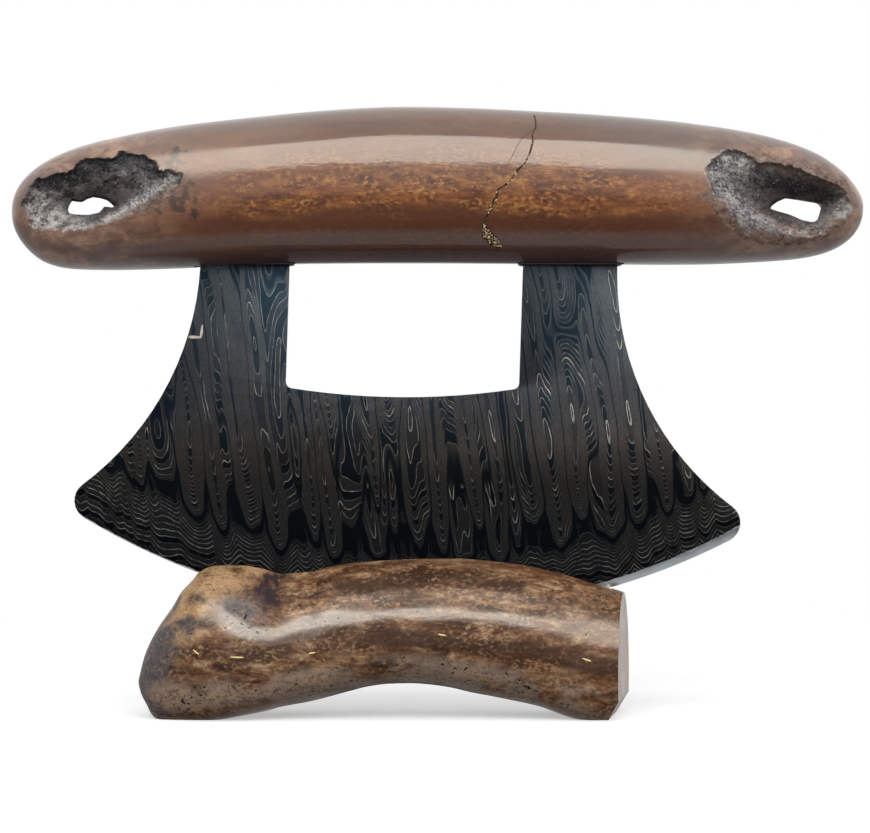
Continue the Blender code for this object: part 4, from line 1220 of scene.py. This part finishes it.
def layer_lines(tree, place, count, group):
    """Lines of one width where the count is whole, and how fast the count changes there."""
    slopes = []
    for axis in range(3):
        offset = [SAMPLE_STEP if axis == i else 0.0 for i in range(3)]
        moved = vector(tree, "ADD", place, offset)
        other = add(tree, "ShaderNodeGroup", {"Vector": moved}, node_tree=group)
        slopes.append(calc(tree, "SUBTRACT", other, count))
    slope = add(tree, "ShaderNodeCombineXYZ", {0: slopes[0], 2: slopes[2]})
    slope = calc(tree, "MAXIMUM", vector(tree, "LENGTH", slope), 0.03)
    nearest = calc(tree, "ROUND", count)
    off = calc(tree, "ABSOLUTE", calc(tree, "SUBTRACT", count, nearest))
    chance = add(tree, "ShaderNodeTexWhiteNoise", {"W": nearest}, noise_dimensions="1D")
    half = LINE_MM / 2 / (SAMPLE_STEP * 1000)
    width = remap(tree, chance, 0, 1, half * 0.75, half * 1.3)
    off = chain(tree, "DIVIDE", off, slope, width)
    line = calc(tree, "MULTIPLY", remap(tree, off, 1.4, 0.5), remap(tree, chance, 0.3, 1, 0.35))
    return line, slope


def make_layered_steel():
    material, tree = new_material("etched_twisted_layer_steel")
    group = layer_count_group()
    place = object_place(tree)
    count = add(tree, "ShaderNodeGroup", {"Vector": place}, node_tree=group)
    fold, above = (socket_of(count.node.outputs, name) for name in ("Fold", "Above"))
    line, slope = layer_lines(tree, place, count, group)
    # The etch bites unevenly, so lines break up, and the bottoms of the creases stay black
    broken = remap(tree, noise_mm(tree, (1.3, 1.3, 2.2), 3.0, 0.6), 0.36, 0.56, 0.25)
    crease = calc(tree, "MAXIMUM", remap(tree, fold, 0.01, 0.03), remap(tree, above, 16.0, 12.0))
    seam = calc(tree, "SUBTRACT", 1.0, calc(tree, "COMPARE", count, BOLD_LAYER, 1.1))
    shown = calc(tree, "MULTIPLY", crease, seam)
    line = chain(tree, "MULTIPLY", line, broken, shown)
    # Lines that stand apart etch pale, and crowded ones run together as brown-grey
    crowded = remap(tree, slope, 0.10, 0.22)
    # Painted shade: the steel is lighter higher up, and blotches of random tone make the change wander
    grime = noise_mm(tree, (3.5, 3.5, 9), 3.0)
    up = calc(tree, "MULTIPLY_ADD", grime, 0.012, part_of(tree, place, "Z"))
    up = remap(tree, up, 0.035, 0.115)
    lit = calc(tree, "MULTIPLY_ADD", up, 0.25, grime)
    pale = tones(tree, lit, [(0.35, "5c5956"), (0.65, "84827e"), (0.85, "aeaba3")])
    band = tones(tree, up, [(0.0, "202225"), (0.4, "2c2a29"), (0.62, "35363a"), (1.0, "50575e")])
    pale = mix(tree, crowded, pale, band)
    # The dark etch is painted blue-grey on the legs and nearly black lower down, a painted gradient of the
    # room's reflection
    dark = tones(tree, up, [(0.0, "080b0f"), (0.4, "0c1014"), (0.65, "17212b"), (1.0, "22313d")])
    # Every layer takes the etch its own way: a few stay black and most turn dark grey
    layer = add(tree, "ShaderNodeTexWhiteNoise", {"W": calc(tree, "FLOOR", count)},
                noise_dimensions="1D")
    hazy = calc(tree, "MAXIMUM", remap(tree, layer, 0.2, 0.5, 0, 0.7), crowded)
    grit = remap(tree, noise_mm(tree, (0.5, 0.5, 0.7)), 0.3, 0.7, 0.55)
    dark = mix(tree, chain(tree, "MULTIPLY", hazy, shown, grit), dark, band)
    colour = mix(tree, line, dark, pale)
    # The last bevel is bare bright steel, wider towards the right, where the stone stayed longer
    start = remap(tree, part_of(tree, place, "X"), -0.06, 0.07,
                  *((EDGE_RADIUS - width) * MM for width in BEVEL_WIDTHS))
    ragged = noise_mm(tree, (1.6, 1.6, 1.6))
    start = calc(tree, "MULTIPLY_ADD", ragged, 0.0005, start)
    bare = calc(tree, "GREATER_THAN", edge_radius(tree, place, MM), start)
    hook = calc(tree, "MINIMUM", *(spot(tree, place, *stroke) for stroke in HOOK_STROKES))
    hook = calc(tree, "LESS_THAN", calc(tree, "MULTIPLY_ADD", ragged, 1.0, hook), 1.45)
    colour = mix(tree, hook, mix(tree, bare, colour, "c4cacf"), "b9aea6")
    rough = mix(tree, bare, remap(tree, line, 0, 1, 0.55, 0.40), 0.3, "FLOAT")
    coat_of(tree, {"Base Color": colour, "Metallic": 1.0, "Roughness": rough,
                   "Normal": bump(tree, line, 0.00004, 0.5)})
    return material


blade = make_blade()
blade.data.materials.clear()
blade.data.materials.append(make_layered_steel())
print("blade has", len(blade.data.polygons), "faces")

# %% [markdown]
# ## The display stand
# The stand is another length of polished bone. Its left end is a natural knob, its back is arched
# off the floor, and its right end was sawn off square, which leaves a pale flat face. Along its
# top runs the slot that holds the blade's edge. The form is a loft again; the saw cut, the flat
# feet and the slot are Boolean cuts, and the slot's tool is an arc about the edge's own centre.

# %% Form of the stand
STAND_LENGTH = 114.2
STAND_HEIGHT = 36.7
STAND_DEPTH = 30.0
STAND_OFFSET = -11.8
STAND_LEFT = STAND_OFFSET - STAND_LENGTH / 2
STAND_RIGHT = STAND_OFFSET + STAND_LENGTH / 2
FOOT_SINK = 1.2                 # how far the feet reach below the floor before they are cut flat
FOOT_SHARE = 0.06               # of the height, below which the belly counts as a foot
DENT_RADIUS = 8.5
DENT_DEPTH = 2.4
DENT_SHARES = (0.275, 0.792)
SAW_ANGLE = math.radians(9.0)
CORNER_ANGLE = math.radians(30.0)
CORNER_RISE = 4.5
SLOT_HALF = 1.9
SLOT_RADIUS = 153.4
STAND_TOP_SHARES = [(0.0, 0.226), (0.015, 0.403), (0.039, 0.553), (0.072, 0.704), (0.086, 0.780),
                    (0.108, 0.855), (0.126, 0.918), (0.154, 0.954), (0.201, 0.962),
                    (0.249, 0.950), (0.290, 0.920), (0.344, 0.920), (0.386, 0.950),
                    (0.441, 0.975), (0.508, 0.990), (0.576, 1.0), (0.645, 1.0), (0.713, 0.984),
                    (0.782, 0.956), (0.850, 0.906), (0.917, 0.843), (0.969, 0.792), (1.0, 0.761)]
STAND_BELLY_SHARES = [(0.0, 0.226), (0.003, 0.176), (0.013, 0.101), (0.031, 0.025), (0.049, 0.0),
                      (0.134, 0.0), (0.185, 0.015), (0.225, 0.030), (0.265, 0.048),
                      (0.306, 0.073), (0.346, 0.095), (0.386, 0.125), (0.427, 0.160),
                      (0.467, 0.190), (0.508, 0.205), (0.548, 0.208), (0.588, 0.200),
                      (0.629, 0.182), (0.669, 0.152), (0.709, 0.128), (0.750, 0.102),
                      (0.790, 0.076), (0.831, 0.046), (0.871, 0.018), (0.911, 0.0), (1.0, 0.0)]
STAND_PLAN_SHARES = [(0.0, 0.10), (0.010, 0.38), (0.030, 0.62), (0.070, 0.82), (0.130, 0.96),
                     (0.220, 1.0), (0.340, 0.93), (0.600, 0.92), (1.0, 0.90)]
STAND_WIDEST_SHARES = [(0.0, 0.48), (0.10, 0.46), (0.20, 0.36), (0.35, 0.34), (0.60, 0.31),
                       (0.80, 0.33), (1.0, 0.37)]
STAND_BACK_POWER = 2.0
STAND_BELLY_POWERS = [(0.0, 2.2), (0.08, 3.2), (0.16, 3.2), (0.35, 2.5), (0.75, 2.5),
                      (0.90, 3.2), (1.0, 3.2)]
STAND_WAVES = ((16, 9, 9), 51, 0.016)


def stand_rings():
    even = np.arange(1, 321) / 320
    x = STAND_LEFT + (even + 1 - np.cos(math.pi / 2 * even)) / 2 * (STAND_LENGTH + 3)
    place = (x - STAND_LEFT) / STAND_LENGTH
    share = smooth_curve(STAND_BELLY_SHARES, place)
    top = STAND_HEIGHT * smooth_curve(STAND_TOP_SHARES, place)
    bottom = STAND_HEIGHT * share - FOOT_SINK * np.maximum(1 - share / FOOT_SHARE, 0)
    depth = STAND_DEPTH / 2 * smooth_curve(STAND_PLAN_SHARES, place)
    shape = section_rings(x, top, bottom, depth, np.full(len(x), STAND_BACK_POWER),
                          smooth_curve(STAND_BELLY_POWERS, place),
                          smooth_curve(STAND_WIDEST_SHARES, place), np.radians(np.arange(0, 360, 2.0)))
    dent_x = STAND_LEFT + DENT_SHARES[0] * STAND_LENGTH
    dent_z = DENT_SHARES[1] * STAND_HEIGHT
    off = ((shape[..., 0] - dent_x) ** 2 + (shape[..., 2] - dent_z) ** 2) / DENT_RADIUS ** 2
    shape[..., 1] += np.where(shape[..., 1] < 0, DENT_DEPTH * np.exp(-off), 0)
    return ground_waves(shape, x, top, bottom, *STAND_WAVES)


def end_tool(name, rise, tilt, material):
    """A big block whose face is a cut at the stand's right end, oblique and tilted."""
    size = STAND_LENGTH
    corners = np.array([(x, y, z) for x in (0, size) for y in (-size, size) for z in (-size, size)])
    roll, turn = -tilt, SAW_ANGLE
    x, y, z = corners.T
    x, z = x * math.cos(roll) - z * math.sin(roll), x * math.sin(roll) + z * math.cos(roll)
    x, y = x * math.cos(turn) + y * math.sin(turn), y * math.cos(turn) - x * math.sin(turn)
    points = np.stack([x + STAND_RIGHT, y + STAND_DEPTH / 2, z + rise], axis=1)
    faces = [(0, 1, 3, 2), (4, 6, 7, 5), (0, 4, 5, 1), (2, 3, 7, 6), (0, 2, 6, 4), (1, 5, 7, 3)]
    return add_mesh(name, points, faces, [material])


def slot_tool(material):
    angles = np.radians(np.linspace(-135, -45, 181))
    outline = np.stack([EDGE_CENTRE[0] + SLOT_RADIUS * np.cos(angles),
                        EDGE_CENTRE[1] + SLOT_RADIUS * np.sin(angles)], axis=1)
    return prism("slot", outline, -SLOT_HALF, SLOT_HALF, material)


print("stand is", STAND_LENGTH, "mm long")

# %% [markdown]
# ## Mottled stand bone and its sawn face
# This bone is paler and more mottled than the handle: tan on its knob, dark brown in patches and
# more open near its feet, with a purple-brown stain in its dent. A grey painted sheen lies over its left
# end and above its bright ridge, a greyer painted reflection of the floor near its feet, and a few
# painted gold glints low on its front. The sawn face is the same bone without polish, lighter and
# dull, with fine parallel saw marks.

# %% Materials of the stand
# Painted gold glints, highlights on open pores: pixel, half length in mm, lean in degrees
GLINTS = [((196, 652), 0.9, -38.0), ((237, 657), 1.6, -2.0), ((312, 653), 0.8, 8.0),
          ((442, 635), 1.0, -10.0), ((587, 660), 1.1, -18.0)]


def stand_colour(tree, low):
    """The bone's colour with its marks and painted reflections, before pores and stains. Also the height of
    its grain.
    """
    colour = clouds(tree, (17, 8, 6.5), [(0.37, "24150d"), (0.44, "482d1c"), (0.51, "6b482f"),
                                         (0.57, "906e50"), (0.65, "c2a284")])
    mottle = clouds(tree, (6.0, 3.0, 2.4), [(0.38, "22140b"), (0.45, "4b2d1a"), (0.52, "744d33"),
                                            (0.59, "9c795a"), (0.66, "ccac8a")])
    colour = mix(tree, 0.65, colour, mottle)
    grey_sheen, dense = attribute(tree, "grey_sheen"), attribute(tree, "dense")
    # Painted reflections: a grey sheen at the left end and above the knob's ridge, and a greyer one of the
    # floor near the feet; then the dense dark layers and the tan of the knob
    for share, code in ((grey_sheen, "515055"), (low, "95806f"), (dense, "331a08"),
                        (attribute(tree, "tan"), "be9870")):
        colour = mix(tree, share, colour, code)
    # Short slanting strokes, where the saw and the file crossed the fibres
    lean = add(tree, "ShaderNodeMapping", {"Vector": object_place(tree),
                                           "Rotation": (0, math.radians(32), 0)})
    lean = vector(tree, "MULTIPLY", lean, (2200.0, 1500.0, 500.0))
    stroke = add(tree, "ShaderNodeTexNoise", {"Vector": lean, "Scale": 1.0, "Detail": 2.0})
    colour = mix(tree, remap(tree, stroke, 0.5, 0.7, 0, 0.45), colour, "3b281c")
    where = remap(tree, noise_mm(tree, (14, 7, 6), 3.0, shift=(4, 3, 9)), 0.38, 0.55, 0.4)
    spared = remap(tree, calc(tree, "MAXIMUM", dense, grey_sheen), 0, 1, 1.0, 0.6)
    return bone_body(tree, colour, "2a1c15", "ad8a66", calc(tree, "MULTIPLY", where, spared))


def make_stand_bone():
    material, tree = new_material("polished_mottled_bone")
    low = attribute(tree, "low")
    colour, height = stand_colour(tree, low)
    # Open pores, most of them low down, and a few painted gold glints
    pore = noise_mm(tree, (1.0, 0.75, 0.75), 1.0)
    open_pores = calc(tree, "MULTIPLY_ADD", low, 0.25, noise_mm(tree, (10, 8, 6), shift=(7, 2, 5)))
    hole = calc(tree, "GREATER_THAN", pore, remap(tree, open_pores, 0.45, 0.80, 0.76, 0.64))
    colour = mix(tree, hole, colour, "17110e")
    place = object_place(tree)
    for pixel, half_length, lean in GLINTS:
        x, z = seen_at(pixel, 14.0)
        glint = spot(tree, place, (x, -15.0, z), (half_length, 8.0, 0.17), lean)
        colour = mix(tree, calc(tree, "LESS_THAN", glint, 1.0), colour, "f4dc98")
    colour = mix(tree, attribute(tree, "stain_and_rim_shadow"), colour, "251921")
    height = calc(tree, "SUBTRACT", height, hole)
    # The polish is worn dull, but for one ridge that hands have kept bright
    bright = attribute(tree, "polish")
    gloss = calc(tree, "MULTIPLY", remap(tree, hole, 0, 1, 1.0, 0.1), bright)
    coat_of(tree, {"Base Color": colour, "Roughness": remap(tree, bright, 0.5, 1, 0.5, 0.22),
                   "IOR": BONE_IOR, "Specular IOR Level": remap(tree, bright, 0.5, 1, 0.1, 0.3),
                   "Normal": bump(tree, height, BODY_BUMP, 0.4), "Coat Weight": gloss,
                   "Coat Roughness": 0.11, "Coat IOR": POLISH_IOR,
                   "Coat Normal": bump(tree, height, POLISH_BUMP, 0.35)})
    return material


def make_sawn_bone():
    material, tree = new_material("sawn_bone")
    colour = tones(tree, noise_mm(tree, (5, 5, 5), 5.0, 0.65),
                   [(0.3, "beb0a5"), (0.5, "ded2c8"), (0.7, "eee6df")])
    saw_marks = bump(tree, noise_mm(tree, (30, 9, 0.4)), 0.0001, 0.5)
    coat_of(tree, {"Base Color": colour, "Roughness": 0.6, "IOR": BONE_IOR, "Normal": saw_marks})
    return material


# %% Cut the stand
def cut_stand():
    stand_bone, sawn = make_stand_bone(), make_sawn_bone()
    tip = (STAND_LEFT, 0.0, STAND_HEIGHT * STAND_TOP_SHARES[0][1])
    stand = loft("bone_stand", stand_rings(), (tip, None), [stand_bone])
    reach = STAND_LENGTH
    floor = [(-reach, -reach), (reach, -reach), (reach, 0.0), (-reach, 0.0)]
    tools = [end_tool("saw", 0.0, 0.0, sawn), end_tool("corner", CORNER_RISE, CORNER_ANGLE, sawn),
             prism("floor_cut", floor, -reach, reach, sawn), slot_tool(sawn)]
    return settle(stand, tools)


# %% Marks on the stand
KNOB_PIXELS = [(245, 574), (230, 572), (205, 578), (192, 600), (182, 628)]
FEET_PIXELS = [(160, 698), (215, 697), (290, 688), (350, 678), (400, 672), (450, 674), (520, 688),
               (580, 700)]
STAIN_PIXELS = [(271, 583), (269, 598)]
RIDGE_PIXELS = [(206, 610), (218, 614), (230, 624), (250, 634), (275, 634), (300, 625), (330, 617),
                (400, 615), (450, 615), (500, 619), (550, 627), (600, 637), (640, 646)]
LEFT_SHEEN_PIXELS = [(168, 622), (150, 648), (143, 672), (150, 694)]
UPPER_SHEEN_PIXELS = [(204, 592), (226, 599), (246, 614)]
DENSE_MIDDLE_PIXELS = [(190, 648), (225, 656), (262, 652), (290, 636), (325, 632), (360, 640), (430, 640),
                       (500, 648), (560, 658), (612, 670)]
DENSE_TOP_PIXELS = [(345, 590), (380, 583), (430, 576), (475, 580), (520, 588)]


def mark_stand(stand):
    """Write the attributes that the stand's material reads."""
    points = mesh_points(stand)
    x, y, z = points.T

    def off(pixels, skin):
        return line_distance(x, z, outline_at(pixels, skin))

    spread = off(STAIN_PIXELS, 10.0) + 4.0 * grain(points, (2.2, 4, 2.8), 61, 4)
    stain_and_rim_shadow = np.maximum(0.92 * fade(2.0, 1.2, spread), 0.4 * fade(4.5, 2.0, spread))
    # Tan along the knob and the left shoulder, and near the feet a greyer painted reflection of the floor,
    # where the pores are also more open
    cloudy = 0.5 + 0.75 * grain(points, (9, 6, 5), 67, 5)
    tan = fade(7.0, 2.0, off(KNOB_PIXELS, 12.0)) * fade(0.2, 0.75, cloudy)
    low = 0.85 * fade(5.5, 2.0, off(FEET_PIXELS, 12.0)) * fade(0.15, 0.6, cloudy)
    # A grey painted sheen at the left end and above the knob's ridge
    grey = np.minimum(off(LEFT_SHEEN_PIXELS, 10.0), off(UPPER_SHEEN_PIXELS, 10.0) + 4.0)
    # A dense dark layer runs along the middle, and a second one under the top
    ragged = 2.2 * grain(points, (14, 5, 3), 69, 4)
    middle = fade(3.6, 0.8, off(DENSE_MIDDLE_PIXELS, 14.0) + ragged) * (0.45 + 0.55 * fade(-48, -34, x))
    upper = fade(3.0, 0.6, off(DENSE_TOP_PIXELS, 10.0) + ragged)
    # Bright along one ridge, and more widely so near both ends
    narrow = 0.5 + 0.5 * fade(42, 30, np.abs(x + 12))
    dull = 0.16 + 0.22 * cloudy
    bright = dull + (1 - dull) * fade(2.1, 0.9, off(RIDGE_PIXELS, 13.0) * narrow + 0.3 * ragged)
    bright *= (0.25 + 0.75 * fade(-56, -47, x)) * (1 - 0.3 * fade(14, 28, x))
    for name, values in (("stain_and_rim_shadow", stain_and_rim_shadow * (y < 0)), ("tan", tan), ("low", low),
                         ("grey_sheen", 0.85 * fade(9.0, 3.0, grey + 4 * (cloudy - 0.5))),
                         ("dense", 0.88 * np.maximum(middle, upper)), ("polish", bright)):
        write_attribute(stand, name, values)


stand = cut_stand()
mark_stand(stand)
smooth_shade(stand, 35)
print("stand has", len(stand.data.polygons), "faces")

# %% [markdown]
# ## Adhesive round the tangs
# Dark epoxy was poured into the mortises and squeezed out in a thin bead where each leg enters
# the handle. The CAD beds stay, with a better finish. The bead follows a path, so Geometry Nodes
# sweeps a small circle along the tang's outline and lets noise swell and pinch it.

# %% Epoxy and its beads
BEAD_RADIUS = 0.00024           # metres
BEAD_INSET = 0.45               # the path's distance from the bed's outline
BEAD_RISE = 0.2                 # its height above the bed's lowest face
BEAD_CORNER = 0.5               # radius of the path's corners


def make_epoxy():
    material, tree = new_material("set_black_epoxy")
    cloud = noise_mm(tree, (2, 2, 2))
    colour = tones(tree, cloud, [(0.35, "15110f"), (0.7, "2a211b")])
    coat_of(tree, {"Base Color": colour, "Roughness": 0.28, "IOR": 1.55,
                   "Normal": bump(tree, cloud, 0.0001, 0.3)})
    return material


def bead_tree():
    tree, given = new_tree("adhesive_bead", {"Radius": "Float", "Points": "Int",
                                             "Sides": "Int", "Material": "Material"})
    path = add(tree, "GeometryNodeMeshToCurve", {"Mesh": given["Geometry"]})
    path = add(tree, "GeometryNodeResampleCurve", {"Curve": path, "Count": given["Points"]})
    swell = add(tree, "ShaderNodeTexNoise", {"Scale": 450.0, "Detail": 2.0})
    swell = remap(tree, swell, 0.3, 0.7, 0.6, 1.1)
    circle = add(tree, "GeometryNodeCurvePrimitiveCircle", {"Resolution": given["Sides"],
                                                            "Radius": given["Radius"]})
    bead = add(tree, "GeometryNodeCurveToMesh", {"Curve": path, "Profile Curve": circle,
                                                 "Scale": swell})
    return close_tree(tree, bead, given["Material"])


def bead_path(name, node):
    """A closed path round the tang, at the mortise's mouth and inside the CAD bed's outline."""
    low, high = (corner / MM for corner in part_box(node))
    points = []
    for side_x, side_y, start in ((1, 1, 0), (-1, 1, 90), (-1, -1, 180), (1, -1, 270)):
        x = (high.x if side_x > 0 else low.x) - side_x * BEAD_INSET
        y = (high.y if side_y > 0 else low.y) - side_y * BEAD_INSET
        for turn in (0, 30, 60, 90):
            angle = math.radians(start + turn)
            points.append((x - BEAD_CORNER * side_x + BEAD_CORNER * math.cos(angle),
                           y - BEAD_CORNER * side_y + BEAD_CORNER * math.sin(angle),
                           low.z + BEAD_RISE))
    mesh = bpy.data.meshes.new(name)
    edges = [(i, (i + 1) % len(points)) for i in range(len(points))]
    mesh.from_pydata([tuple(p) for p in np.array(points) * MM], edges, [])
    return link_object(name, mesh)


epoxy = make_epoxy()
beads = []
sweep = bead_tree()
for side in ("left", "right"):
    path = bead_path(side + "_adhesive_bead", side + "_tang_epoxy")
    bead = grow(path, sweep, {"Radius": BEAD_RADIUS, "Points": 140, "Sides": 10, "Material": epoxy})
    smooth_shade(bead, 60)
    beads.append(bead)
    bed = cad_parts[side + "_tang_epoxy"]
    bed.material_slots[0].material = epoxy
print("beads have", [len(bead.data.polygons) for bead in beads], "faces")

# %% [markdown]
# ## Riding on the frame
# Each piece is told which body of the CAD model carries it and which node it stands for. The stand
# stays on the table, and the rest lifts.

# %% Bodies, nodes and slots
for piece, body, node, slot in (
        (handle, "knife", "handle", "polished_fossil_bone"),
        (blade, "knife", "blade", "etched_layered_steel"),
        (crack_grains, "knife", "crack_filler", "mineral_filler"),
        (stand, "stand", "display_stand", "polished_stand_bone")):
    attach(piece, body)
    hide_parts(node)
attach(bone_lace, "knife")
for bead in beads:
    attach(bead, "knife")
